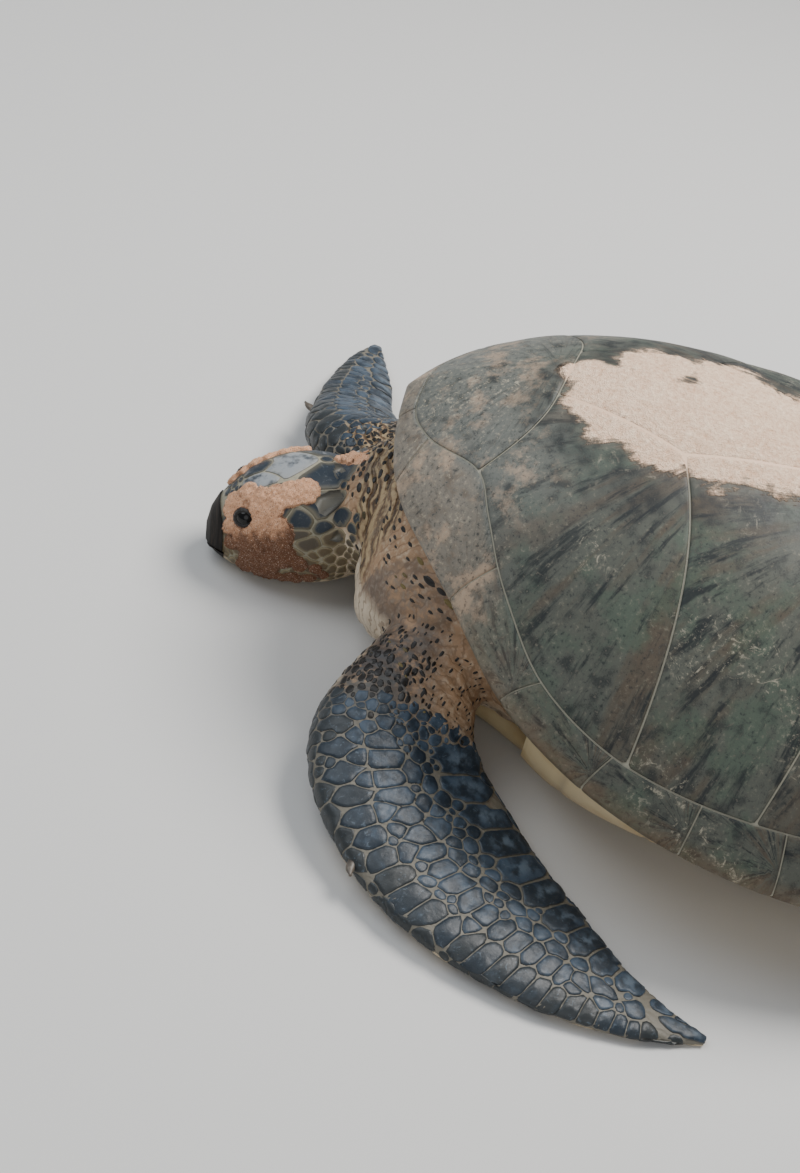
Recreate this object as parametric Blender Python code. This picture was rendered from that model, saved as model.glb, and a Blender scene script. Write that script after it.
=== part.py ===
"""A nesting green sea turtle at life size, lying on its plastron.

The head points along -Y and a little to the turtle's left (+X), the tail along +Y, and the
floor is z = 0. The left front flipper is swept back beside the shell, the right one reaches
forward and out. Lengths are metres. Every part is one closed solid; neighbours keep a thin
parting gap.
"""
import math

import bmesh
import bpy
import numpy as np

GAP = 0.0003
CLEARANCE = 0.0005

# Where the centre of the whole animal's footprint lies in the frame that the sizes below use.
FOOTPRINT_CENTRE = (0.0112, -0.047)

# Shell
SHELL_SCALE = 0.92
SHELL_PITCH = math.radians(3.5)
SHELL_PIVOT = (0.0, 0.36, -0.02)
DOME_CENTRE_Y = -0.08
DOME_HEIGHT = 0.378
DOME_ROUNDNESS = 2.26
DOME_FULLNESS = 0.78
RIM_THICKNESS = 0.018
RIM_ROLL = 0.12
LID_RISE = 0.05
SHELL_RINGS = 10
SHELL_SPOKES = 40
WAIST_SHARE = 5
DOME_WAVES = 4

# Half outline of the carapace, front to back: half width and distance along the body.
OUTLINE = (
    (0.0, -0.500), (0.060, -0.489), (0.112, -0.474), (0.148, -0.458), (0.188, -0.430),
    (0.226, -0.387), (0.258, -0.345), (0.292, -0.303), (0.334, -0.250), (0.366, -0.186),
    (0.390, -0.110), (0.402, -0.010), (0.394, 0.100), (0.360, 0.210), (0.300, 0.320),
    (0.225, 0.415), (0.130, 0.485), (0.055, 0.512), (0.0, 0.518),
)
# Height of the rim by its bearing from the front, in degrees.
RIM_BEARINGS = (0.0, 35.0, 60.0, 90.0, 130.0, 180.0)
RIM_HEIGHTS = (0.224, 0.186, 0.136, 0.106, 0.098, 0.085)

# Plastron
PLASTRON_OUTLINE = (
    (0.0, -0.375), (0.080, -0.360), (0.140, -0.315), (0.165, -0.245), (0.205, -0.150),
    (0.222, -0.030), (0.208, 0.090), (0.160, 0.190), (0.135, 0.270), (0.085, 0.340),
    (0.0, 0.365),
)
PLASTRON_CENTRE_Y = -0.02
PLASTRON_EDGE_HEIGHT = 0.034
PLASTRON_THICKNESS = 0.030
PLASTRON_FLAT = 0.80
PLASTRON_SPOKES = 24

BRIDGE_FRONT = -0.185
BRIDGE_BACK = 0.200
BRIDGE_INSET = 0.050
BRIDGE_FOOT = (0.185, 0.026)
BRIDGE_HEAD = (0.345, 0.150)
BRIDGE_HALF_THICKNESS = 0.015
BRIDGE_RINGS = 6
BRIDGE_STEPS = 5
BRIDGE_BULGE = (0.018, -0.012)

# Trunk, front to back: place along the body, half width, top and bottom.
TRUNK_TABLE = (
    (-0.430, 0.090, 0.190, 0.045), (-0.405, 0.155, 0.225, 0.024), (-0.340, 0.200, 0.262, 0.020),
    (-0.200, 0.235, 0.270, 0.020), (-0.050, 0.275, 0.270, 0.020), (0.120, 0.275, 0.240, 0.020),
    (0.260, 0.225, 0.190, 0.022), (0.360, 0.140, 0.140, 0.030), (0.410, 0.060, 0.100, 0.045),
)
TRUNK_RINGS = 12
TRUNK_SIDES = 16
TRUNK_MIDDLE = 0.45
TRUNK_POWER = 2.5

# Head
HEAD_LENGTH = 0.190
HEAD_YAW = math.radians(20.0)
HEAD_PITCH = math.radians(8.0)
BEAK_TIP = (0.050, -0.607)
CHIN_STATION = 0.62
CHIN_PRESS = 0.001
# Head, nape to beak tip: station, half width, top, bottom and how square its section is.
HEAD_TABLE = (
    (0.000, 0.0560, 0.1180, 0.0260, 2.10), (0.140, 0.0690, 0.1300, 0.0100, 2.20),
    (0.320, 0.0745, 0.1380, 0.0010, 2.35), (0.500, 0.0710, 0.1370, 0.0000, 2.40),
    (0.640, 0.0630, 0.1300, 0.0000, 2.35), (0.760, 0.0530, 0.1190, 0.0020, 2.25),
    (0.860, 0.0410, 0.1020, 0.0080, 2.10), (0.930, 0.0300, 0.0860, 0.0160, 2.05),
    (0.975, 0.0195, 0.0700, 0.0230, 2.00), (1.000, 0.0070, 0.0500, 0.0310, 2.00),
)
HEAD_RINGS = 17
HEAD_SIDES = 18
HEAD_MIDDLE = 0.47
EYE_STATION = 0.770
EYE_SIDE = 0.0370
EYE_HEIGHT = 0.0900
EYE_RADIUS = 0.0125
BEAK_STATION = 0.860
BEAK_TOP = 0.082
MOUTH_HEIGHT = 0.036
JAW_STATION = 0.30
BEYOND_HEAD = 0.1
BEYOND_TIP = 1.2

# Neck: its centre line up to the nape, and half width, rise and drop at each point.
NAPE = (0.16, 0.0, 0.066)
NECK_LINE = ((0.0, -0.330, 0.150), (-0.004, -0.415, 0.115))
NECK_SIZES = ((0.110, 0.090, 0.100), (0.090, 0.078, 0.078), (0.064, 0.062, 0.058))
NECK_RINGS = 5
NECK_SIDES = 18
NECK_POWER = 2.2

# Front flippers: a centre line from the shoulder to the tip, and at each of its points the
# half width, the rise above and the drop below that line.
LEFT_LINE = (
    (0.110, -0.245, 0.120), (0.200, -0.303, 0.090), (0.302, -0.302, 0.052), (0.386, -0.214, 0.026),
    (0.438, -0.104, 0.016), (0.460, -0.008, 0.010), (0.456, 0.080, 0.005),
)
RIGHT_LINE = (
    (-0.105, -0.265, 0.122), (-0.130, -0.392, 0.104), (-0.172, -0.500, 0.069),
    (-0.262, -0.543, 0.042), (-0.348, -0.560, 0.026), (-0.424, -0.574, 0.013),
    (-0.489, -0.580, 0.005),
)
FLIPPER_SIZES = (
    (0.074, 0.070, 0.078), (0.064, 0.050, 0.062), (0.092, 0.034, 0.044), (0.098, 0.021, 0.027),
    (0.076, 0.015, 0.017), (0.041, 0.010, 0.011), (0.007, 0.004, 0.005),
)
RIGHT_SIZES = (
    (0.060, 0.060, 0.066), (0.052, 0.046, 0.058), (0.071, 0.034, 0.044), (0.053, 0.021, 0.027),
    (0.043, 0.015, 0.017), (0.028, 0.010, 0.011), (0.008, 0.004, 0.005),
)
FLIPPER_LEAN = 0.25
WRIST_SHARE = 0.30
FRONT_CLAW_SHARE = 0.46

# Hind flippers, from the hip to the tip.
HIND_LINE = (
    (0.110, 0.235, 0.070), (0.170, 0.305, 0.052), (0.228, 0.370, 0.032), (0.280, 0.425, 0.018),
    (0.325, 0.470, 0.011), (0.355, 0.497, 0.006), (0.369, 0.510, 0.004),
)
HIND_SIZES = (
    (0.070, 0.048, 0.052), (0.056, 0.040, 0.045), (0.060, 0.026, 0.033), (0.073, 0.016, 0.019),
    (0.066, 0.009, 0.011), (0.034, 0.005, 0.007), (0.008, 0.003, 0.004),
)
HIND_LEAN = 0.15
ANKLE_SHARE = 0.30
HIND_CLAW_SHARE = 0.54

LIMB_RINGS = 15
LIMB_SIDES = 12
PARTING_WIDTH = 0.6
PARTING_HEIGHT = 0.5
SHORT_STEP = 0.01

# Tail, from its root to its tip.
TAIL_LINE = ((0.0, 0.345, 0.062), (0.0, 0.420, 0.038), (0.004, 0.475, 0.018), (0.008, 0.520, 0.0055))
TAIL_SIZES = ((0.050, 0.034, 0.040), (0.032, 0.024, 0.030), (0.018, 0.014, 0.017), (0.005, 0.004, 0.006))
TAIL_RINGS = 7
TAIL_SIDES = 10

# Claws
CLAW_LENGTH = 0.024
CLAW_BED = 0.008
CLAW_RADIUS = 0.0050
CLAW_FLATNESS = 0.7
CLAW_TAPER = (1.0, 0.75, 0.2)
CLAW_RINGS = 5
CLAW_SIDES = 8

FLOOR_DEPTH = 0.2
FLOOR_REACH = 2.0


# --- small tools ---------------------------------------------------------------------------

def smooth(stations, values, wanted):
    """Read a smooth curve through stations at the wanted places (cubic, no overshooting)."""
    knots = np.asarray(stations, float)
    heights = np.asarray(values, float)
    if heights.ndim == 1:
        return smooth(knots, heights[:, None], wanted)[:, 0]
    steps = np.diff(knots)[:, None]
    slopes = np.diff(heights, axis=0) / steps
    tangents = np.vstack([slopes[:1], (slopes[1:] + slopes[:-1]) / 2, slopes[-1:]])
    places = np.clip(np.asarray(wanted, float), knots[0], knots[-1])
    left = np.clip(np.searchsorted(knots, places, side="right") - 1, 0, len(steps) - 1)
    width = steps[left]
    share = (places[:, None] - knots[left][:, None]) / width
    square = share * share
    cube = square * share
    return (heights[left] * (2 * cube - 3 * square + 1)
            + tangents[left] * width * (cube - 2 * square + share)
            + heights[left + 1] * (3 * square - 2 * cube)
            + tangents[left + 1] * width * (cube - square))


def closed_outline(half_outline, centre_y, bearings):
    """Distance of a mirrored outline from its centre, by bearing from the front."""
    half = np.asarray(half_outline, float)
    spread = np.linspace(0, len(half) - 1, 400)
    curve = smooth(np.arange(len(half)), half, spread)
    angle = np.arctan2(curve[:, 0], -(curve[:, 1] - centre_y))
    reach = np.hypot(curve[:, 0], curve[:, 1] - centre_y)
    return np.interp(np.abs(bearings), angle, reach)


def material(name, colour, roughness, metallic=0.0):
    """Make a plain Principled material."""
    made = bpy.data.materials.new(name)
    made.use_nodes = True
    shader = made.node_tree.nodes["Principled BSDF"]
    shader.inputs["Base Color"].default_value = (*colour, 1.0)
    shader.inputs["Roughness"].default_value = roughness
    shader.inputs["Metallic"].default_value = metallic
    made.diffuse_color = (*colour, 1.0)
    return made


def put(collection, name, mesh, look=None):
    """Put a mesh in the scene as a named object."""
    thing = bpy.data.objects.new(name, mesh)
    if look is not None:
        mesh.materials.append(look)
    collection.objects.link(thing)
    return thing


def skin_rings(name, rings, flat_ends=False):
    """Close a run of like rings into a solid: quads between rings, a fan or one face at each end."""
    rings = np.asarray(rings, float)
    around = rings.shape[1]
    shape = bmesh.new()
    rows = [[shape.verts.new(point) for point in ring] for ring in rings]
    for lower, upper in zip(rows[:-1], rows[1:]):
        for step in range(around):
            after = (step + 1) % around
            shape.faces.new((lower[step], lower[after], upper[after], upper[step]))
    for row, ring in ((rows[0], rings[0]), (rows[-1], rings[-1])):
        if flat_ends:
            shape.faces.new(row)
            continue
        end = shape.verts.new(ring.mean(axis=0))
        for step in range(around):
            shape.faces.new((end, row[step], row[(step + 1) % around]))
    bmesh.ops.recalc_face_normals(shape, faces=shape.faces)
    bmesh.ops.triangulate(shape, faces=shape.faces)
    mesh = bpy.data.meshes.new(name)
    shape.to_mesh(mesh)
    shape.free()
    mesh.shade_smooth()
    mesh.set_sharp_from_angle(angle=math.radians(40))
    return mesh


def rounded_section(half_width, rise, drop, power, around, lean=0.0):
    """A rounded section as across and up offsets; lean thins its far side."""
    turn = np.linspace(0, 2 * math.pi, around, endpoint=False)
    across = np.sign(np.cos(turn)) * np.abs(np.cos(turn)) ** (2 / power)
    upward = np.sign(np.sin(turn)) * np.abs(np.sin(turn)) ** (2 / power)
    height = np.where(upward > 0, rise, drop) * (1 - lean * across)
    return across * half_width, upward * height


def limb_rings(centres, sizes, rings, around, power=2.0, lean=0.0, upright=(0, 0, 1)):
    """Rings along a curved limb: sizes holds half width, rise and drop at each centre."""
    stations = np.linspace(0, 1, len(centres))
    places = np.linspace(0, 1, rings)
    line = smooth(stations, centres, places)
    size = smooth(stations, sizes, places)
    ahead = np.gradient(line, axis=0)
    ahead /= np.linalg.norm(ahead, axis=1)[:, None]
    across = np.cross(ahead, upright)
    across /= np.linalg.norm(across, axis=1)[:, None]
    upward = np.cross(across, ahead)
    made = []
    for centre, side, up, (wide, rise, drop) in zip(line, across, upward, size):
        out, high = rounded_section(wide, rise, drop, power, around, lean)
        made.append(centre + out[:, None] * side + high[:, None] * up)
    return made


def boolean(thing, cutter, operation="DIFFERENCE"):
    """Cut a thing by a cutter, or keep or join what they share."""
    cut = thing.modifiers.new(operation.title(), "BOOLEAN")
    cut.object = cutter
    cut.operation = operation
    cut.solver = "EXACT"


class Workshop:
    """The collections of parts and cutters, and the ways that parts are added and cut."""

    def __init__(self):
        self.parts = bpy.data.collections.new("green_sea_turtle")
        self.cutters = bpy.data.collections.new("cutters")
        for group in (self.parts, self.cutters):
            bpy.context.scene.collection.children.link(group)
        self.ground = bpy.data.objects.new("ground_point", None)
        self.ground.location = (-FOOTPRINT_CENTRE[0], -FOOTPRINT_CENTRE[1], 0.0)
        bpy.context.scene.collection.objects.link(self.ground)
        low = (-FLOOR_REACH, -FLOOR_REACH, -FLOOR_DEPTH)
        high = (FLOOR_REACH, FLOOR_REACH, 0.0)
        self.floor = self.cutter("floor_cutter", box_mesh("floor_cutter", low, high))

    def part(self, name, mesh, look):
        """Add a part, carried by the ground point."""
        made = put(self.parts, name, mesh, look)
        made.parent = self.ground
        return made

    def cutter(self, name, mesh):
        """Add a cutter, which is drawn as wire and isn't a part."""
        tool = put(self.cutters, name, mesh)
        tool.parent = self.ground
        tool.hide_render = True
        tool.display_type = "WIRE"
        return tool

    def grown(self, thing):
        """A cutter of a part's whole uncut form, larger by the clearance on every side."""
        shape = bmesh.new()
        shape.from_mesh(thing.data)
        shape.normal_update()
        moves = [vertex.normal * CLEARANCE for vertex in shape.verts]
        for vertex, move in zip(shape.verts, moves):
            vertex.co += move
        mesh = bpy.data.meshes.new(thing.name + "_clearance")
        shape.to_mesh(mesh)
        shape.free()
        return self.cutter(mesh.name, mesh)


def box_mesh(name, low, high):
    """A box between two corners."""
    shape = bmesh.new()
    bmesh.ops.create_cube(shape, size=1.0)
    for vertex in shape.verts:
        vertex.co = [low[i] if vertex.co[i] < 0 else high[i] for i in range(3)]
    mesh = bpy.data.meshes.new(name)
    shape.to_mesh(mesh)
    shape.free()
    return mesh


def mirrored(points):
    """The same points on the other side of the body."""
    return [(-x, y, z) for x, y, z in points]


# --- shell ---------------------------------------------------------------------------------

def to_floor_frame(points):
    """Lean the shell nose-up about its rear and scale it to its real size."""
    points = np.asarray(points, float) - SHELL_PIVOT
    cosine, sine = math.cos(SHELL_PITCH), math.sin(SHELL_PITCH)
    leaned = np.stack([
        points[..., 0],
        points[..., 1] * cosine + points[..., 2] * sine + SHELL_PIVOT[1],
        -points[..., 1] * sine + points[..., 2] * cosine,
    ], axis=-1)
    return leaned * SHELL_SCALE


def carapace_mesh():
    """Dome, rolled rim and lid of the carapace as rings around its crown."""
    bearings = np.linspace(-math.pi, math.pi, SHELL_SPOKES, endpoint=False)
    edge = closed_outline(OUTLINE, DOME_CENTRE_Y, bearings)
    waves = np.fft.rfft(edge)
    waves[DOME_WAVES:] = 0
    swell = np.fft.irfft(waves, SHELL_SPOKES)
    rim = smooth(np.radians(RIM_BEARINGS), RIM_HEIGHTS, np.abs(bearings))

    def ring(share, height):
        reach = share * (swell + (edge - swell) * share ** WAIST_SHARE)
        return np.stack([
            reach * np.sin(bearings),
            DOME_CENTRE_Y - reach * np.cos(bearings),
            height,
        ], axis=-1)

    rings = []
    for share in np.sin(np.linspace(0.06, 1, SHELL_RINGS) * math.pi / 2):
        arch = max(1 - share ** DOME_ROUNDNESS, 0.0) ** DOME_FULLNESS
        rings.append(ring(share, rim + (DOME_HEIGHT - rim) * arch))
    for turn in np.radians((30.0, 60.0, 90.0)):
        share = 1 - RIM_ROLL * (1 - math.cos(turn))
        rings.append(ring(share, rim - RIM_THICKNESS * math.sin(turn)))
    for share in (0.60, 0.30, 0.06):
        lift = LID_RISE * (1 - (share / (1 - RIM_ROLL)) ** 2)
        rings.append(ring(share, rim * share + rim.mean() * (1 - share) - RIM_THICKNESS + lift))
    return skin_rings("carapace", to_floor_frame(rings))


def plastron_mesh():
    """A flat-bottomed dish with an edge that turns up."""
    bearings = np.linspace(-math.pi, math.pi, PLASTRON_SPOKES, endpoint=False)
    reach = closed_outline(PLASTRON_OUTLINE, PLASTRON_CENTRE_Y, bearings)

    def ring(share, height):
        return np.stack([
            reach * share * np.sin(bearings),
            PLASTRON_CENTRE_Y - reach * share * np.cos(bearings),
            np.full_like(reach, height),
        ], axis=-1)

    rings = [ring(0.1, 0.0), ring(PLASTRON_FLAT, 0.0)]
    for turn in np.radians((35.0, 65.0, 90.0)):
        share = PLASTRON_FLAT + (1 - PLASTRON_FLAT) * math.sin(turn)
        rings.append(ring(share, PLASTRON_EDGE_HEIGHT * (1 - math.cos(turn))))
    top = PLASTRON_EDGE_HEIGHT + 0.4 * PLASTRON_THICKNESS
    rings += [ring(0.97, top), ring(0.80, PLASTRON_THICKNESS), ring(0.1, PLASTRON_THICKNESS)]
    return skin_rings("plastron", rings)


def bridge_mesh(name, side):
    """The wall that joins the plastron's side to the rim above it."""
    rings = []
    for share in np.linspace(0, 1, BRIDGE_RINGS):
        place = BRIDGE_FRONT + (BRIDGE_BACK - BRIDGE_FRONT) * share
        inset = BRIDGE_INSET * abs(2 * share - 1) ** 3
        foot = np.array(BRIDGE_FOOT) - (inset * 0.5, 0)
        head = np.array(BRIDGE_HEAD) - (inset, 0)
        middle = (foot + head) / 2 + BRIDGE_BULGE
        line = smooth((0, 0.5, 1), (foot, middle, head), np.linspace(0, 1, BRIDGE_STEPS))
        normal = np.gradient(line, axis=0)[:, ::-1] * (1, -1)
        normal /= np.linalg.norm(normal, axis=1)[:, None]
        outer = line + normal * BRIDGE_HALF_THICKNESS
        inner = line - normal * BRIDGE_HALF_THICKNESS
        loop = np.vstack([outer, inner[::-1]])
        ring = np.column_stack([loop[:, 0] * side, np.full(len(loop), place), loop[:, 1]])
        rings.append(ring)
    return skin_rings(name, rings, flat_ends=True)


# --- flesh ---------------------------------------------------------------------------------

def trunk_mesh():
    """The body between plastron and carapace, which bulges out at the shoulders and hips."""
    steps = np.linspace(0, 1, len(TRUNK_TABLE))
    rings = []
    for y, wide, top, bottom in smooth(steps, TRUNK_TABLE, np.linspace(0, 1, TRUNK_RINGS)):
        middle = bottom + TRUNK_MIDDLE * (top - bottom)
        out, high = rounded_section(wide, top - middle, middle - bottom, TRUNK_POWER, TRUNK_SIDES)
        rings.append(np.column_stack([out, np.full_like(out, y), middle + high]))
    return skin_rings("trunk", rings)


def head_point(station, side, height):
    """A point of the head's own frame in the world: station 0 is the nape, 1 the beak tip."""
    forward = np.array([math.sin(HEAD_YAW), -math.cos(HEAD_YAW), 0.0])
    left = np.array([math.cos(HEAD_YAW), math.sin(HEAD_YAW), 0.0])
    cosine, sine = math.cos(HEAD_PITCH), math.sin(HEAD_PITCH)
    ahead = forward * cosine + np.array([0.0, 0.0, -sine])
    upward = forward * sine + np.array([0.0, 0.0, cosine])
    tip = np.array([*BEAK_TIP, 0.0])
    run = (np.asarray(station, float) - 1) * HEAD_LENGTH
    chin_drop = (CHIN_STATION - 1) * HEAD_LENGTH * sine
    point = (tip + run[..., None] * ahead + np.asarray(side, float)[..., None] * left
             + np.asarray(height, float)[..., None] * upward)
    point[..., 2] += chin_drop - CHIN_PRESS
    return point


def head_mesh(name):
    """The whole head: a broad skull that narrows to a blunt, down-turned beak."""
    steps = np.linspace(0, 1, len(HEAD_TABLE))
    rings = []
    for station, wide, top, bottom, power in smooth(steps, HEAD_TABLE, np.linspace(0, 1, HEAD_RINGS)):
        middle = bottom + HEAD_MIDDLE * (top - bottom)
        out, high = rounded_section(wide, top - middle, middle - bottom, power, HEAD_SIDES)
        rings.append(head_point(np.full_like(out, station), out, middle + high))
    return skin_rings(name, rings)


def head_box(name, low, high, grow=0.0):
    """A box in the head's own frame, from its low to its high station, side and height."""
    mesh = box_mesh(name, (0, 0, 0), (1, 1, 1))
    low = np.array(low, float) - np.array([grow / HEAD_LENGTH, grow, grow])
    high = np.array(high, float) + np.array([grow / HEAD_LENGTH, grow, grow])
    for vertex in mesh.vertices:
        share = np.array(vertex.co)
        station, side, height = low + (high - low) * share
        vertex.co = head_point(station, side, height)
    shape = bmesh.new()
    shape.from_mesh(mesh)
    bmesh.ops.recalc_face_normals(shape, faces=shape.faces)
    shape.to_mesh(mesh)
    shape.free()
    return mesh


def eye_mesh(name, side, radius):
    """An eyeball set into the side of the head."""
    shape = bmesh.new()
    bmesh.ops.create_uvsphere(shape, u_segments=12, v_segments=8, radius=radius)
    centre = head_point(EYE_STATION, EYE_SIDE * side, EYE_HEIGHT)
    for vertex in shape.verts:
        vertex.co.x += centre[0]
        vertex.co.y += centre[1]
        vertex.co.z += centre[2]
    mesh = bpy.data.meshes.new(name)
    shape.to_mesh(mesh)
    shape.free()
    mesh.shade_smooth()
    return mesh


def neck_mesh():
    """The thick neck between the shoulders and the back of the head."""
    line = [*NECK_LINE, tuple(head_point(*NAPE))]
    return skin_rings("neck", limb_rings(line, NECK_SIZES, NECK_RINGS, NECK_SIDES, power=NECK_POWER))


def limb_mesh(name, line, sizes, lean):
    """A whole limb, thick at its front edge and thin at its back edge."""
    return skin_rings(name, limb_rings(line, sizes, LIMB_RINGS, LIMB_SIDES, lean=lean))


def parting_slab(name, line, share, start, reach):
    """A block that takes away the far or the near end of a limb, beyond a cut across it."""
    stations = np.linspace(0, 1, len(line))
    centre, ahead = smooth(stations, line, (share, share + SHORT_STEP))
    normal = ahead - centre
    normal[2] = 0.0
    normal /= np.linalg.norm(normal)
    across = np.array([-normal[1], normal[0], 0.0])
    low, high = sorted((start, start + reach))
    bottom_corner = (low, -PARTING_WIDTH, -PARTING_HEIGHT)
    mesh = box_mesh(name, bottom_corner, (high, PARTING_WIDTH, PARTING_HEIGHT))
    for vertex in mesh.vertices:
        along, side, height = vertex.co
        vertex.co = centre + along * normal + side * across + np.array([0.0, 0.0, height])
    return mesh


def tail_mesh():
    """The short tail, which ends in a blunt point on the floor."""
    return skin_rings("tail", limb_rings(TAIL_LINE, TAIL_SIZES, TAIL_RINGS, TAIL_SIDES))


def claw_mesh(name, line, sizes, share, front):
    """The claw on a limb's front edge: a small horn that lies along the edge and points outwards."""
    stations = np.linspace(0, 1, len(line))
    centre, beyond = smooth(stations, line, (share, share + SHORT_STEP))
    half_width = smooth(stations, sizes, (share,))[0, 0]
    ahead = (beyond - centre) * (1, 1, 0)
    ahead /= np.linalg.norm(ahead)
    outwards = np.cross(ahead, (0, 0, front))
    root = centre + outwards * (half_width - CLAW_BED)
    tip = root + outwards * (CLAW_LENGTH * 0.8) + ahead * (CLAW_LENGTH * 0.6)
    middle = (root + tip) / 2 + outwards * (CLAW_LENGTH * 0.1)
    girths = CLAW_RADIUS * np.outer(CLAW_TAPER, (1.0, CLAW_FLATNESS, CLAW_FLATNESS))
    return skin_rings(name, limb_rings([root, middle, tip], girths, CLAW_RINGS, CLAW_SIDES))


# --- assembly ------------------------------------------------------------------------------

def build_shell(shop, looks):
    """Carapace, plastron and the two bridges."""
    carapace = shop.part("carapace", carapace_mesh(), looks["shell"])
    plastron = shop.part("plastron", plastron_mesh(), looks["underside"])
    around = [shop.grown(carapace), shop.grown(plastron)]
    for name, side in (("bridge_left", 1), ("bridge_right", -1)):
        bridge = shop.part(name, bridge_mesh(name, side), looks["underside"])
        for tool in tuple(around[:2]):
            boolean(bridge, tool)
        around.append(shop.grown(bridge))
    return around


def build_trunk(shop, looks, around):
    """The trunk fills what the shell leaves open and takes the roots of neck, limbs and tail."""
    trunk = shop.part("trunk", trunk_mesh(), looks["pale_skin"])
    for tool in around:
        boolean(trunk, tool)


def build_head(shop, looks, around):
    """Head, beak, lower jaw, eyes and neck."""
    beak_low = (BEAK_STATION, -BEYOND_HEAD, MOUTH_HEIGHT)
    beak_high = (BEYOND_TIP, BEYOND_HEAD, BEAK_TOP)
    jaw_low = (JAW_STATION, -BEYOND_HEAD, -BEYOND_HEAD)
    jaw_high = (BEYOND_TIP, BEYOND_HEAD, MOUTH_HEIGHT - 2 * GAP)
    tip_low = (BEAK_STATION, -BEYOND_HEAD, -BEYOND_HEAD)
    head = shop.part("head", head_mesh("head"), looks["dark_skin"])
    boolean(head, shop.cutter("beak_room", head_box("beak_room", beak_low, beak_high, GAP)))
    boolean(head, shop.cutter("jaw_room", head_box("jaw_room", jaw_low, jaw_high, GAP)))
    boolean(head, shop.floor)
    for name, side in (("eye_left", 1), ("eye_right", -1)):
        shop.part(name, eye_mesh(name, side, EYE_RADIUS), looks["eye"])
        socket = name + "_socket"
        boolean(head, shop.cutter(socket, eye_mesh(socket, side, EYE_RADIUS + 2 * GAP)))
    for name, low, high, look in (
            ("upper_beak", beak_low, beak_high, "horn"),
            ("lower_beak", tip_low, jaw_high, "horn"),
            ("lower_jaw", jaw_low, jaw_high, "pale_skin")):
        form = name + "_form"
        jaw = shop.part(name, head_mesh(name), looks[look])
        boolean(jaw, shop.cutter(form, head_box(form, low, high)), "INTERSECT")
        boolean(jaw, shop.floor)
    boolean(jaw, shop.cutter("jaw_tip_room", head_box("jaw_tip_room", tip_low, jaw_high, GAP)))
    neck = shop.part("neck", neck_mesh(), looks["dark_skin"])
    for tool in (*around, shop.grown(shop.cutter("whole_head", head_mesh("whole_head")))):
        boolean(neck, tool)
    return shop.grown(neck)


def build_limb(shop, looks, names, line, sizes, lean, shares, shell):
    """One limb in two parts, upper and blade, parted by a thin cut across it, and its claw."""
    share, claw_share = shares
    claw_name = names[1] + "_claw"
    front = -math.copysign(1, lean)
    claw = shop.part(claw_name, claw_mesh(claw_name, line, sizes, claw_share, front), looks["horn"])
    boolean(claw, shop.floor)
    claw_bed = shop.grown(claw)
    for name, reach, start, look in (
            (names[0], 1.0, 0.0, "pale_skin"),
            (names[1], -1.0, GAP, "dark_skin")):
        thing = shop.part(name, limb_mesh(name, line, sizes, lean), looks[look])
        cut = name + "_parting"
        boolean(thing, shop.cutter(cut, parting_slab(cut, line, share, start, reach)))
        for tool in (shop.floor, *shell):
            boolean(thing, tool)
    boolean(thing, claw_bed)
    return shop.grown(thing)


def build_limbs(shop, looks, shell):
    """Front and hind flippers and the tail, each with its root inside the trunk."""
    roots = []
    front_shares = (WRIST_SHARE, FRONT_CLAW_SHARE)
    hind_shares = (ANKLE_SHARE, HIND_CLAW_SHARE)
    for side, line, sizes, lean in (
            ("left", LEFT_LINE, FLIPPER_SIZES, -FLIPPER_LEAN),
            ("right", RIGHT_LINE, RIGHT_SIZES, FLIPPER_LEAN)):
        names = ("front_arm_" + side, "front_flipper_" + side)
        roots.append(build_limb(shop, looks, names, line, sizes, lean, front_shares, shell))
    for side, line, lean in (
            ("left", HIND_LINE, -HIND_LEAN),
            ("right", mirrored(HIND_LINE), HIND_LEAN)):
        names = ("hind_thigh_" + side, "hind_flipper_" + side)
        roots.append(build_limb(shop, looks, names, line, HIND_SIZES, lean, hind_shares, shell))
    tail = shop.part("tail", tail_mesh(), looks["pale_skin"])
    for tool in (shop.floor, *shell):
        boolean(tail, tool)
    return [*roots, shop.grown(tail)]


def main():
    """Build the whole turtle."""
    for old in list(bpy.data.objects):
        bpy.data.objects.remove(old, do_unlink=True)
    looks = {
        "shell": material("carapace_horn", (0.12, 0.12, 0.07), 0.45),
        "underside": material("plastron_horn", (0.62, 0.50, 0.28), 0.5),
        "pale_skin": material("pale_skin", (0.42, 0.33, 0.21), 0.6),
        "dark_skin": material("dark_skin", (0.05, 0.07, 0.09), 0.5),
        "horn": material("beak_horn", (0.10, 0.09, 0.09), 0.4),
        "eye": material("eye", (0.01, 0.01, 0.01), 0.1),
    }
    shop = Workshop()
    shell = build_shell(shop, looks)
    limbs = build_limbs(shop, looks, shell)
    neck = build_head(shop, looks, [*shell, *limbs])
    build_trunk(shop, looks, [*shell, neck, *limbs])


if __name__ == "__main__":
    main()
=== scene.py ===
"""The looks of a nesting green sea turtle: skin, scales, shell, beak, eyes, claws and sand.

The frame is the solid model's own: the head points along -Y and a little to the turtle's left
(+X), the tail along +Y, and the floor is z = 0. Lengths are metres.
"""

import logging
import math
from collections.abc import Callable
from dataclasses import dataclass, field
from enum import Enum

import bpy
import numpy as np
from mathutils import Matrix
from mathutils.bvhtree import BVHTree

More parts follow.
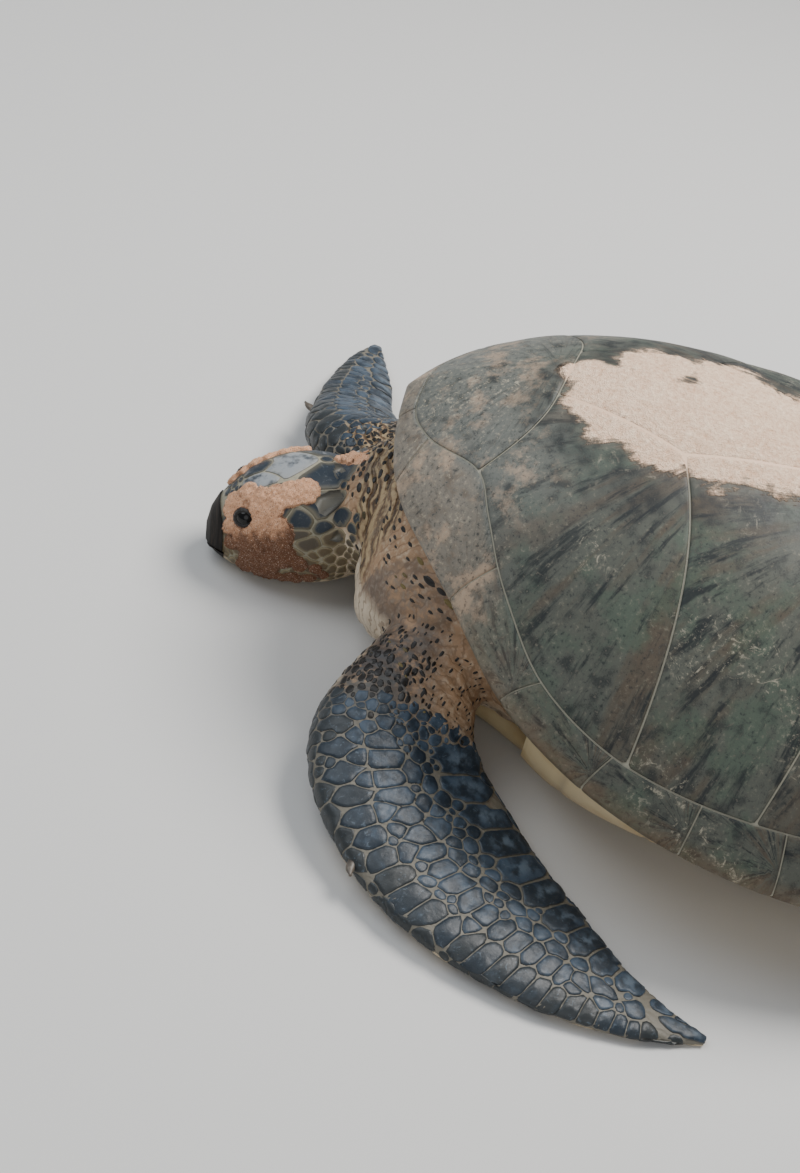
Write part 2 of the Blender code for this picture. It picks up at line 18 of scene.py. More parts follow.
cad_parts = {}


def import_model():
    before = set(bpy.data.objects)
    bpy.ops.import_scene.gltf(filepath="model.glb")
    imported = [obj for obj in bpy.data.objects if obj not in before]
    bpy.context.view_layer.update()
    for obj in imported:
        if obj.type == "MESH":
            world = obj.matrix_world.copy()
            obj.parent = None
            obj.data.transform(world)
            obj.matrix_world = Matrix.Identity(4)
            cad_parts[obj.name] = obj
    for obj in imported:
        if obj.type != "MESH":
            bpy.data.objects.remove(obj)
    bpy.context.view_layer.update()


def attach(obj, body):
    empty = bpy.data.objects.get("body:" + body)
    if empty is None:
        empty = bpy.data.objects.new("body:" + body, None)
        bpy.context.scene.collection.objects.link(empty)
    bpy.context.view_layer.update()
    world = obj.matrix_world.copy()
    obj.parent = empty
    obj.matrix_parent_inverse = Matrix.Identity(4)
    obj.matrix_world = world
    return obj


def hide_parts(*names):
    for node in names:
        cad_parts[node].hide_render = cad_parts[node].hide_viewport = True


logging.basicConfig(level=logging.INFO, format="%(message)s")
LOG = logging.getLogger("turtle")

Array = np.ndarray
Values = float | tuple | list | np.ndarray
Colour = tuple[float, float, float]
Thing = bpy.types.Object
Material = bpy.types.Material

# The solid model's only body, and the way from the plan the forms are drawn in to its frame.
BODY = "root"
GROUND_SHIFT = np.array([-0.0112, 0.047, 0.0])
# How far the skin lies inside the solid, so that the scales fill it up, and above the floor.
COAT_DEPTH = 0.0012
FLOOR_FILM = 0.0006
# Distance from one fold of the neck to the next.
NECK_FOLD = 0.0160
# Start of all random draws.
SEED = 7
FULL_TURN = 2 * math.pi


# --- lines and sizes of the neck, limbs and tail, as in the solid model --------------------------

NAPE = (0.16, 0.0, 0.066)
NECK_LINE = ((0.0, -0.330, 0.150), (-0.004, -0.415, 0.115))
NECK_SIZES = ((0.110, 0.090, 0.100), (0.090, 0.078, 0.078), (0.064, 0.062, 0.058))
NECK_POWER = 2.2

LEFT_LINE = (
    (0.110, -0.245, 0.120), (0.200, -0.303, 0.090), (0.302, -0.302, 0.052), (0.386, -0.214, 0.026),
    (0.438, -0.104, 0.016), (0.460, -0.008, 0.010), (0.456, 0.080, 0.005),
)
RIGHT_LINE = (
    (-0.105, -0.265, 0.122), (-0.130, -0.392, 0.104), (-0.172, -0.500, 0.069),
    (-0.262, -0.543, 0.042), (-0.348, -0.560, 0.026), (-0.424, -0.574, 0.013),
    (-0.489, -0.580, 0.005),
)
FLIPPER_SIZES = (
    (0.074, 0.070, 0.078), (0.064, 0.050, 0.062), (0.092, 0.034, 0.044), (0.098, 0.021, 0.027),
    (0.076, 0.015, 0.017), (0.041, 0.010, 0.011), (0.007, 0.004, 0.005),
)
RIGHT_SIZES = (
    (0.060, 0.060, 0.066), (0.052, 0.046, 0.058), (0.071, 0.034, 0.044), (0.053, 0.021, 0.027),
    (0.043, 0.015, 0.017), (0.028, 0.010, 0.011), (0.008, 0.004, 0.005),
)
FLIPPER_LEAN = 0.25
HIND_LINE = (
    (0.110, 0.235, 0.070), (0.170, 0.305, 0.052), (0.228, 0.370, 0.032), (0.280, 0.425, 0.018),
    (0.325, 0.470, 0.011), (0.355, 0.497, 0.006), (0.369, 0.510, 0.004),
)
HIND_SIZES = (
    (0.070, 0.048, 0.052), (0.056, 0.040, 0.045), (0.060, 0.026, 0.033), (0.073, 0.016, 0.019),
    (0.066, 0.009, 0.011), (0.034, 0.005, 0.007), (0.008, 0.003, 0.004),
)
HIND_LEAN = 0.15
TAIL_LINE = (
    (0.0, 0.345, 0.062), (0.0, 0.420, 0.038), (0.004, 0.475, 0.018), (0.008, 0.520, 0.0055),
)
TAIL_SIZES = (
    (0.050, 0.034, 0.040), (0.032, 0.024, 0.030), (0.018, 0.014, 0.017), (0.005, 0.004, 0.006),
)


class Kind(Enum):
    """What a plate on the skin is, which sets its colour family."""

    HEAD = 0.0
    BLADE = 0.25
    EDGE = 0.5
    SPOT = 0.75
    BELLY = 1.0


# --- numbers and shapes ------------------------------------------------------------------------

def smooth(stations: Values, values: Values, wanted: Values) -> Array:
    """Read a smooth curve through stations.

    Args:
        stations: rising places where the values are known.
        values: one value or one row of values per station.
        wanted: places to read.

    Returns:
        The values at the wanted places.
    """
    knots = np.asarray(stations, float)
    heights = np.asarray(values, float)
    if heights.ndim == 1:
        return smooth(knots, heights[:, None], wanted)[:, 0]
    steps = np.diff(knots)[:, None]
    slopes = np.diff(heights, axis=0) / steps
    tangents = np.vstack([slopes[:1], (slopes[1:] + slopes[:-1]) / 2, slopes[-1:]])
    places = np.clip(np.atleast_1d(np.asarray(wanted, float)), knots[0], knots[-1])
    left = np.clip(np.searchsorted(knots, places, side="right") - 1, 0, len(steps) - 1)
    width = steps[left]
    share = (places[:, None] - knots[left][:, None]) / width
    square = share * share
    cube = square * share
    return (heights[left] * (2 * cube - 3 * square + 1)
            + tangents[left] * width * (cube - 2 * square + share)
            + heights[left + 1] * (3 * square - 2 * cube)
            + tangents[left + 1] * width * (cube - square))


def unit(vectors: Values) -> Array:
    """Vectors made one long along their last axis."""
    vectors = np.asarray(vectors, float)
    return vectors / np.maximum(np.linalg.norm(vectors, axis=-1, keepdims=True), 1e-12)


def ramp(values: Values, low: Values, high: Values) -> Array:
    """A smooth step from 0 at low to 1 at high."""
    share = np.clip((np.asarray(values, float) - low) / (high - low), 0, 1)
    return share * share * (3 - 2 * share)


FINER = 2.1
WEAKER = 0.5


def ripple(points: Array, length: float, seed: int, octaves: int = 3) -> Array:
    """Smooth noise of about -1 to 1 as a sum of waves in many directions."""
    chance = np.random.default_rng(seed)
    total = np.zeros(points.shape[:-1])
    weight = 1.0
    for _ in range(octaves):
        waves = chance.normal(size=(6, 3))
        waves *= FULL_TURN / length / np.linalg.norm(waves, axis=1)[:, None]
        phases = chance.uniform(0, FULL_TURN, 6)
        total += weight * np.sin(points @ waves.T + phases).sum(axis=-1) / 3
        length /= FINER
        weight *= WEAKER
    return total


def quads(rows: int, columns: int, wrap: bool = False) -> Array:
    """Faces of a grid of rows and columns of points, closed around when it wraps."""
    across = columns if wrap else columns - 1
    row, column = np.meshgrid(np.arange(rows - 1), np.arange(across), indexing="ij")
    after = (column + 1) % columns
    return np.stack([
        row * columns + column, row * columns + after,
        (row + 1) * columns + after, (row + 1) * columns + column,
    ], axis=-1).reshape(-1, 4)


def disc_faces(rings: int, around: int) -> list:
    """Faces of a middle point and the rings around it, closed below across the last ring."""
    numbers = 1 + np.arange(rings * around).reshape(rings, around)
    after = np.roll(numbers, -1, axis=1)
    fan = [(0, numbers[0, step], after[0, step]) for step in range(around)]
    bands = np.stack([numbers[:-1], numbers[1:], after[1:], after[:-1]], axis=-1).reshape(-1, 4)
    return [*fan, *bands, tuple(numbers[-1][::-1])]


def disc_values(values: Array) -> Array:
    """Values of many discs (disc, ring, turn) in order: each one's middle first, then its rings."""
    count, rings, around = values.shape[:3]
    rest = values[:, 1:].reshape(count, (rings - 1) * around, *values.shape[3:])
    return np.concatenate([values[:, 0, :1], rest], axis=1).reshape(-1, *values.shape[3:])


def rounded(turn: Array, power: Values) -> tuple[Array, Array]:
    """Sideways and upward shares of a rounded square: cosine and sine to the power 2 / power, signed."""
    cosine, sine = np.cos(turn), np.sin(turn)
    return np.sign(cosine) * np.abs(cosine) ** (2 / power), np.sign(sine) * np.abs(sine) ** (2 / power)


def edge_reach(outline: tuple, centre_y: float, bearing: Values) -> Array:
    """Distance from a middle on the axis to a mirrored outline, by bearing from the front."""
    half = np.asarray(outline)
    curve = smooth(np.arange(len(half)), half, np.linspace(0, len(half) - 1, 400))
    angle = np.arctan2(curve[:, 0], -(curve[:, 1] - centre_y))
    return np.interp(np.abs(bearing), angle, np.hypot(curve[:, 0], curve[:, 1] - centre_y))


def around_grid(rows: Array, columns: int, turn: float = FULL_TURN) -> tuple[Array, Array]:
    """Grids of row values and of turns around, without the last turn."""
    return np.broadcast_arrays(rows[:, None], np.linspace(0, turn, columns, endpoint=False)[None])


@dataclass
class Shape:
    """Points, faces and per-point facts of a piece while it is being put together."""

    points: list = field(default_factory=list)
    faces: list = field(default_factory=list)
    facts: dict = field(default_factory=dict)
    count: int = 0

    def add(self, points: Values, faces: list, **facts: Values) -> None:
        """Add a patch. Every patch of a shape gives the same facts.

        Args:
            points: array of places.
            faces: rows of point numbers within the patch.
            facts: one value, pair or triple per point.
        """
        points = np.asarray(points, float).reshape(-1, 3)
        self.points.append(points)
        self.faces.extend((np.asarray(face) + self.count) for face in faces)
        for name, values in facts.items():
            values = np.asarray(values, float)
            if values.ndim == 0:
                values = np.full(len(points), float(values))
            self.facts.setdefault(name, []).append(values.reshape(len(points), -1))
        self.count += len(points)

    def build(self, name: str, shade_smooth: bool = True) -> Thing:
        """Make the object. The fact called bake becomes the UV map OFBake.

        Returns:
            The new object, linked to the scene.
        """
        points = np.vstack(self.points)
        widths = np.array([len(face) for face in self.faces])
        corners = np.concatenate(self.faces).astype(np.int32)
        mesh = bpy.data.meshes.new(name)
        mesh.vertices.add(len(points))
        mesh.vertices.foreach_set("co", points.astype(np.float32).ravel())
        mesh.loops.add(len(corners))
        mesh.loops.foreach_set("vertex_index", corners)
        mesh.polygons.add(len(widths))
        starts = np.concatenate([[0], np.cumsum(widths)[:-1]]).astype(np.int32)
        mesh.polygons.foreach_set("loop_start", starts)
        mesh.update(calc_edges=True)
        for fact, parts in self.facts.items():
            values = np.vstack(parts).astype(np.float32)
            if fact == "bake":
                layer = mesh.uv_layers.new(name="OFBake")
                layer.data.foreach_set("uv", values[corners].ravel())
            elif values.shape[1] == 1:
                mesh.attributes.new(fact, "FLOAT", "POINT").data.foreach_set("value", values.ravel())
            else:
                mesh.attributes.new(fact, "FLOAT_VECTOR", "POINT").data.foreach_set("vector", values.ravel())
        mesh.validate()
        thing = bpy.data.objects.new(name, mesh)
        bpy.context.scene.collection.objects.link(thing)
        if shade_smooth:
            mesh.shade_smooth()
        return thing


def read_mesh(mesh: bpy.types.Mesh) -> tuple[Array, Array]:
    """Points and normals of a mesh as arrays."""
    points = np.empty(len(mesh.vertices) * 3, np.float32)
    normals = np.empty_like(points)
    mesh.vertices.foreach_get("co", points)
    mesh.vertices.foreach_get("normal", normals)
    return points.reshape(-1, 3).astype(float), normals.reshape(-1, 3).astype(float)


# --- forms of the body -------------------------------------------------------------------------

@dataclass(frozen=True)
class LimbForm:
    """A tapering form along a curved line: a flipper, the tail or the neck."""

    name: str
    line: tuple
    sizes: tuple
    lean: float = 0.0
    power: float = 2.0
    least: float = 0.0015
    step: float = 0.02

    def frame(self, along: Values) -> tuple[Array, Array, Array, Array, Array]:
        """Centre, forward, across and up directions and sizes at shares along the line."""
        stations = np.linspace(0, 1, len(self.line))
        along = np.atleast_1d(np.asarray(along, float))
        centre = smooth(stations, self.line, along)
        ahead = unit(smooth(stations, self.line, np.clip(along + self.step, 0, 1))
                     - smooth(stations, self.line, np.clip(along - self.step, 0, 1)))
        across = unit(np.cross(ahead, (0.0, 0.0, 1.0)))
        upward = np.cross(across, ahead)
        return centre + GROUND_SHIFT, ahead, across, upward, smooth(stations, self.sizes, along)

    def surface(self, along: Values, turn: Values, inset: float = 0.0) -> Array:
        """Points of the form at shares along and turns around it (radians from the across side)."""
        along = np.asarray(along, float)
        turn = np.asarray(turn, float)
        centre, _, across, upward, sizes = self.frame(along.ravel())
        wide, rise, drop = (np.maximum(size - inset, self.least) for size in sizes.T)
        out, high = rounded(turn.ravel(), self.power)
        high = high * np.where(high > 0, rise, drop) * (1 - self.lean * out)
        points = centre + (out * wide)[:, None] * across + high[:, None] * upward
        return points.reshape(*along.shape, 3)

    def length(self) -> float:
        """Length of the line."""
        line = self.frame(np.linspace(0, 1, 60))[0]
        return np.linalg.norm(np.diff(line, axis=0), axis=1).sum()


@dataclass(frozen=True)
class HeadForm:
    """The head in its own frame: station 0 is the nape and 1 the beak's tip, side is to its left.

    Each row of the table gives a station, half width, top, bottom and roundness.
    """

    length: float = 0.190
    yaw: float = math.radians(20.0)
    pitch: float = math.radians(8.0)
    tip: tuple = (0.050, -0.607)
    chin: float = 0.62
    press: float = 0.001
    middle: float = 0.47
    least: float = 0.001
    table: tuple = (
        (0.000, 0.0560, 0.1180, 0.0260, 2.10), (0.140, 0.0690, 0.1300, 0.0100, 2.20),
        (0.320, 0.0745, 0.1380, 0.0010, 2.35), (0.500, 0.0710, 0.1370, 0.0000, 2.40),
        (0.640, 0.0630, 0.1300, 0.0000, 2.35), (0.760, 0.0530, 0.1190, 0.0020, 2.25),
        (0.860, 0.0410, 0.1020, 0.0080, 2.10), (0.930, 0.0300, 0.0860, 0.0160, 2.05),
        (0.975, 0.0195, 0.0700, 0.0230, 2.00), (1.000, 0.0070, 0.0500, 0.0310, 2.00),
    )

    def axes(self) -> tuple[Array, Array, Array]:
        """Forward, left and up directions of the head."""
        forward = np.array([math.sin(self.yaw), -math.cos(self.yaw), 0.0])
        left = np.array([math.cos(self.yaw), math.sin(self.yaw), 0.0])
        cosine, sine = math.cos(self.pitch), math.sin(self.pitch)
        return forward * cosine - np.array([0, 0, sine]), left, forward * sine + np.array([0, 0, cosine])

    def point(self, station: Values, side: Values, height: Values) -> Array:
        """Points of the head's own frame."""
        ahead, left, upward = self.axes()
        station, side, height = (np.asarray(value, float)[..., None] for value in (station, side, height))
        point = (np.array([*self.tip, 0.0]) + (station - 1) * self.length * ahead
                 + side * left + height * upward)
        lift = (self.chin - 1) * self.length * math.sin(self.pitch) - self.press
        return point + np.array([0.0, 0.0, lift]) + GROUND_SHIFT

    def frame(self, points: Array) -> tuple[Array, Array, Array]:
        """Station, side and height of points."""
        ahead, left, upward = self.axes()
        offset = points - self.point(0.0, 0.0, 0.0)
        return offset @ ahead / self.length, offset @ left, offset @ upward

    def surface(self, station: Values, turn: Values, inset: Values = 0.0) -> Array:
        """Points of the head by station and turn around it, in radians from its left side."""
        station, turn = np.broadcast_arrays(np.asarray(station, float), np.asarray(turn, float))
        table = np.asarray(self.table)
        share = np.interp(station.ravel(), table[:, 0], np.linspace(0, 1, len(table)))
        _, wide, top, bottom, power = smooth(np.linspace(0, 1, len(table)), table, share).T
        middle = bottom + self.middle * (top - bottom)
        out, high = rounded(turn.ravel(), power)
        out = out * np.maximum(wide - inset, self.least)
        high = high * (np.where(high > 0, top - middle, middle - bottom) - inset)
        return self.point(station.ravel(), out, middle + high).reshape(*station.shape, 3)


@dataclass(frozen=True)
class TrunkForm:
    """The flesh between the shells. Each row of the table gives a place, half width, top and bottom."""

    middle: float = 0.45
    power: float = 2.5
    table: tuple = (
        (-0.430, 0.090, 0.190, 0.045), (-0.405, 0.155, 0.225, 0.024), (-0.340, 0.200, 0.262, 0.020),
        (-0.200, 0.235, 0.270, 0.020), (-0.050, 0.275, 0.270, 0.020), (0.120, 0.275, 0.240, 0.020),
        (0.260, 0.225, 0.190, 0.022), (0.360, 0.140, 0.140, 0.030), (0.410, 0.060, 0.100, 0.045),
    )

    def grid(self, rows: int, around: int) -> Array:
        """Rings of points around the trunk, front to back."""
        steps = np.linspace(0, 1, len(self.table))
        y, wide, top, bottom = smooth(steps, self.table, np.linspace(0, 1, rows)).T
        middle = bottom + self.middle * (top - bottom)
        out, high = rounded(np.linspace(0, FULL_TURN, around, endpoint=False), self.power)
        out = out[None] * wide[:, None]
        high = high[None] * np.where(high[None] > 0, (top - middle)[:, None], (middle - bottom)[:, None])
        points = np.stack([out, np.broadcast_to(y[:, None], out.shape), middle[:, None] + high], axis=-1)
        return points + GROUND_SHIFT


@dataclass(frozen=True)
class ShellForm:
    """The carapace as a function of bearing and share of the way from its crown to its rim.

    The dome stands over the rim by (1 - share ** roundness) ** fullness. The shell's own frame is
    level and full-sized; to_floor leans it nose-up, scales it and sets it over the floor.
    """

    scale: float = 0.92
    pitch: float = math.radians(3.5)
    pivot: tuple = (0.0, 0.36, -0.02)
    centre_y: float = -0.08
    height: float = 0.378
    roundness: float = 2.26
    fullness: float = 0.78
    waves: int = 4
    waist: int = 5
    thickness: float = 0.018
    roll: float = 0.12
    lid_rise: float = 0.05
    steep: float = 0.985
    step: float = 0.002
    edge: tuple = (
        (0.0, -0.500), (0.060, -0.489), (0.112, -0.474), (0.148, -0.458), (0.188, -0.430),
        (0.226, -0.387), (0.258, -0.345), (0.292, -0.303), (0.334, -0.250), (0.366, -0.186),
        (0.390, -0.110), (0.402, -0.010), (0.394, 0.100), (0.360, 0.210), (0.300, 0.320),
        (0.225, 0.415), (0.130, 0.485), (0.055, 0.512), (0.0, 0.518),
    )
    rim_bearings: tuple = (0.0, 35.0, 60.0, 90.0, 130.0, 180.0)
    rim_heights: tuple = (0.224, 0.186, 0.136, 0.106, 0.098, 0.085)

    def outline(self, bearing: Values) -> Array:
        """Distance of the rim from the crown by bearing from the front."""
        return edge_reach(self.edge, self.centre_y, bearing)

    def swell(self, bearing: Values) -> Array:
        """The outline's broad form, without its waist: its first few waves."""
        turns = np.linspace(-math.pi, math.pi, 240, endpoint=False)
        edge = self.outline(turns)
        total = np.full(np.shape(bearing), edge.mean())
        for wave in range(1, self.waves):
            total = total + 2 * (edge * np.cos(wave * turns)).mean() * np.cos(wave * np.asarray(bearing))
        return total

    def rim(self, bearing: Values) -> Array:
        """Height of the rim by bearing."""
        flat = np.abs(np.ravel(bearing))
        return smooth(np.radians(self.rim_bearings), self.rim_heights, flat).reshape(np.shape(bearing))

    def plan(self, bearing: Array, share: Array) -> Array:
        """Plan place at a share of the way from the crown to the rim."""
        edge, swell = self.outline(bearing), self.swell(bearing)
        reach = share * (swell + (edge - swell) * share ** self.waist)
        return np.stack([reach * np.sin(bearing), self.centre_y - reach * np.cos(bearing)], axis=-1)

    def share(self, x: Array, y: Array) -> tuple[Array, Array]:
        """Bearing and share of the way to the rim of plan places, by halving."""
        bearing = np.arctan2(x, -(y - self.centre_y))
        reach = np.hypot(x, y - self.centre_y)
        edge, swell = self.outline(bearing), self.swell(bearing)
        low, high = np.zeros_like(reach), np.full_like(reach, 1.6)
        for _ in range(30):
            middle = (low + high) / 2
            over = middle * (swell + (edge - swell) * middle ** self.waist) > reach
            high = np.where(over, middle, high)
            low = np.where(over, low, middle)
        return bearing, (low + high) / 2

    def arch(self, share: Array) -> Array:
        """How far the dome has risen from the rim's height to the crown's."""
        return np.maximum(1 - np.minimum(share, 1) ** self.roundness, 0) ** self.fullness

    def lid(self, rim: Array, share: Array) -> Array:
        """Height of the shell's flat underside inside the rim."""
        mean_rim = self.rim(np.linspace(-math.pi, math.pi, 40, endpoint=False)).mean()
        lift = self.lid_rise * (1 - (share / (1 - self.roll)) ** 2)
        return rim * share + mean_rim * (1 - share) - self.thickness + lift

    def raw_height(self, x: Array, y: Array) -> Array:
        """Height of the dome over plan places, in the shell's own frame."""
        bearing, share = self.share(x, y)
        rim = self.rim(bearing)
        return rim + (self.height - rim) * self.arch(share)

    def under_height(self, x: Array, y: Array) -> Array:
        """Height of the underside over plan places, in the shell's own frame."""
        bearing, share = self.share(x, y)
        rim = self.rim(bearing)
        roll = np.clip((share - 1 + self.roll) / self.roll, 0, 1)
        rolled = rim - self.thickness * np.sqrt(np.maximum(1 - roll ** 2, 0))
        return np.where(share < 1 - self.roll, self.lid(rim, share), rolled)

    def to_floor(self, points: Values) -> Array:
        """Lean the shell nose-up, scale it and set it over the floor."""
        points = np.asarray(points, float) - self.pivot
        cosine, sine = math.cos(self.pitch), math.sin(self.pitch)
        leaned = np.stack([
            points[..., 0],
            points[..., 1] * cosine + points[..., 2] * sine + self.pivot[1],
            -points[..., 1] * sine + points[..., 2] * cosine,
        ], axis=-1)
        return leaned * self.scale + GROUND_SHIFT

    def from_floor(self, points: Values) -> Array:
        """The inverse of to_floor."""
        leaned = (np.asarray(points, float) - GROUND_SHIFT) / self.scale
        cosine, sine = math.cos(self.pitch), math.sin(self.pitch)
        along = leaned[..., 1] - self.pivot[1]
        return np.stack([
            leaned[..., 0],
            along * cosine - leaned[..., 2] * sine,
            along * sine + leaned[..., 2] * cosine,
        ], axis=-1) + self.pivot

    def dome(self, x: Values, y: Values, lift: Values = 0.0) -> Array:
        """Points over plan places, lifted along the dome's normal by real metres."""
        x, y = np.asarray(x, float), np.asarray(y, float)
        bearing, share = self.share(x, y)
        plan = self.plan(bearing, np.minimum(share, self.steep))
        slopes = [(self.raw_height(plan[..., 0] + east, plan[..., 1] + south)
                   - self.raw_height(plan[..., 0] - east, plan[..., 1] - south)) / (2 * self.step)
                  for east, south in ((self.step, 0), (0, self.step))]
        normal = unit(np.stack([-slopes[0], -slopes[1], np.ones_like(x)], axis=-1))
        base = np.stack([x, y, self.raw_height(x, y)], axis=-1)
        return self.to_floor(base + normal * (np.asarray(lift) / self.scale)[..., None])

    def profile(self, bearing: Values, run: Values, lift: Values = 0.0) -> Array:
        """Points by bearing and run: 0 to 1 crown to rim, 1 to 2 round the rim, 2 to 3 inwards below.

        Args:
            bearing: radians from the front.
            run: how far along the profile.
            lift: metres outwards.

        Returns:
            World points.
        """
        bearing, run = np.broadcast_arrays(np.asarray(bearing, float), np.asarray(run, float))
        rim = self.rim(bearing)
        turn = np.clip(run - 1, 0, 1) * math.pi / 2
        share = np.where(run < 1, run, 1 - self.roll * (1 - np.cos(turn)))
        share = np.where(run > 2, (1 - self.roll) * (3.02 - run) / 1.02, share)
        height = np.where(run < 1, rim + (self.height - rim) * self.arch(share),
                          rim - self.thickness * np.sin(turn))
        blend = ramp(run, 2.0, 2.25)
        below = (rim - self.thickness) * (1 - blend) + self.lid(rim, share) * blend
        height = np.where(run > 2, below, height)
        lean = np.clip(run - 0.9, 0, 1.1) / 1.1 * math.pi * 0.80 + np.minimum(run, 0.9) * 0.62
        lean = np.where(run > 2, math.pi, lean)
        out = np.stack([np.sin(bearing) * np.sin(lean), -np.cos(bearing) * np.sin(lean), np.cos(lean)],
                       axis=-1)
        points = np.concatenate([self.plan(bearing, share), height[..., None]], axis=-1)
        return self.to_floor(points + out * (np.asarray(lift) / self.scale)[..., None])


HEAD = HeadForm()
SHELL = ShellForm()


# --- skin --------------------------------------------------------------------------------------

def limb_forms() -> dict:
    """Every limb, the neck and the tail."""
    mirrored = tuple((-x, y, z) for x, y, z in HIND_LINE)
    nape = tuple(HEAD.point(*NAPE) - GROUND_SHIFT)
    return {
        "front_left": LimbForm("front_left", LEFT_LINE, FLIPPER_SIZES, -FLIPPER_LEAN),
        "front_right": LimbForm("front_right", RIGHT_LINE, RIGHT_SIZES, FLIPPER_LEAN),
        "hind_left": LimbForm("hind_left", HIND_LINE, HIND_SIZES, -HIND_LEAN),
        "hind_right": LimbForm("hind_right", mirrored, HIND_SIZES, HIND_LEAN),
        "tail": LimbForm("tail", TAIL_LINE, TAIL_SIZES),
        "neck": LimbForm("neck", (*NECK_LINE, nape), NECK_SIZES, power=NECK_POWER),
    }


def closed_rings(shape: Shape, rings: Array, flip: bool = False, **facts: Values) -> None:
    """Add a closed tube of rings with a fan at each end.

    Args:
        shape: the shape to add to.
        rings: rows of points around the tube.
        flip: turn the faces over, for rings that turn the other way.
        facts: one value per ring point, which the ends' middle points repeat.
    """
    rows, around = rings.shape[:2]
    points = np.vstack([rings.reshape(-1, 3), rings[0].mean(axis=0), rings[-1].mean(axis=0)])
    faces = list(quads(rows, around, wrap=True))
    first, last = rows * around, rows * around + 1
    faces += [(first, (step + 1) % around, step) for step in range(around)]
    base = (rows - 1) * around
    faces += [(last, base + step, base + (step + 1) % around) for step in range(around)]
    if flip:
        faces = [face[::-1] for face in faces]
    flat = {name: np.asarray(value, float).reshape(rows * around, -1) for name, value in facts.items()}
    shape.add(points, faces, **{name: np.vstack([value, value[[0, -1]]]) for name, value in flat.items()})


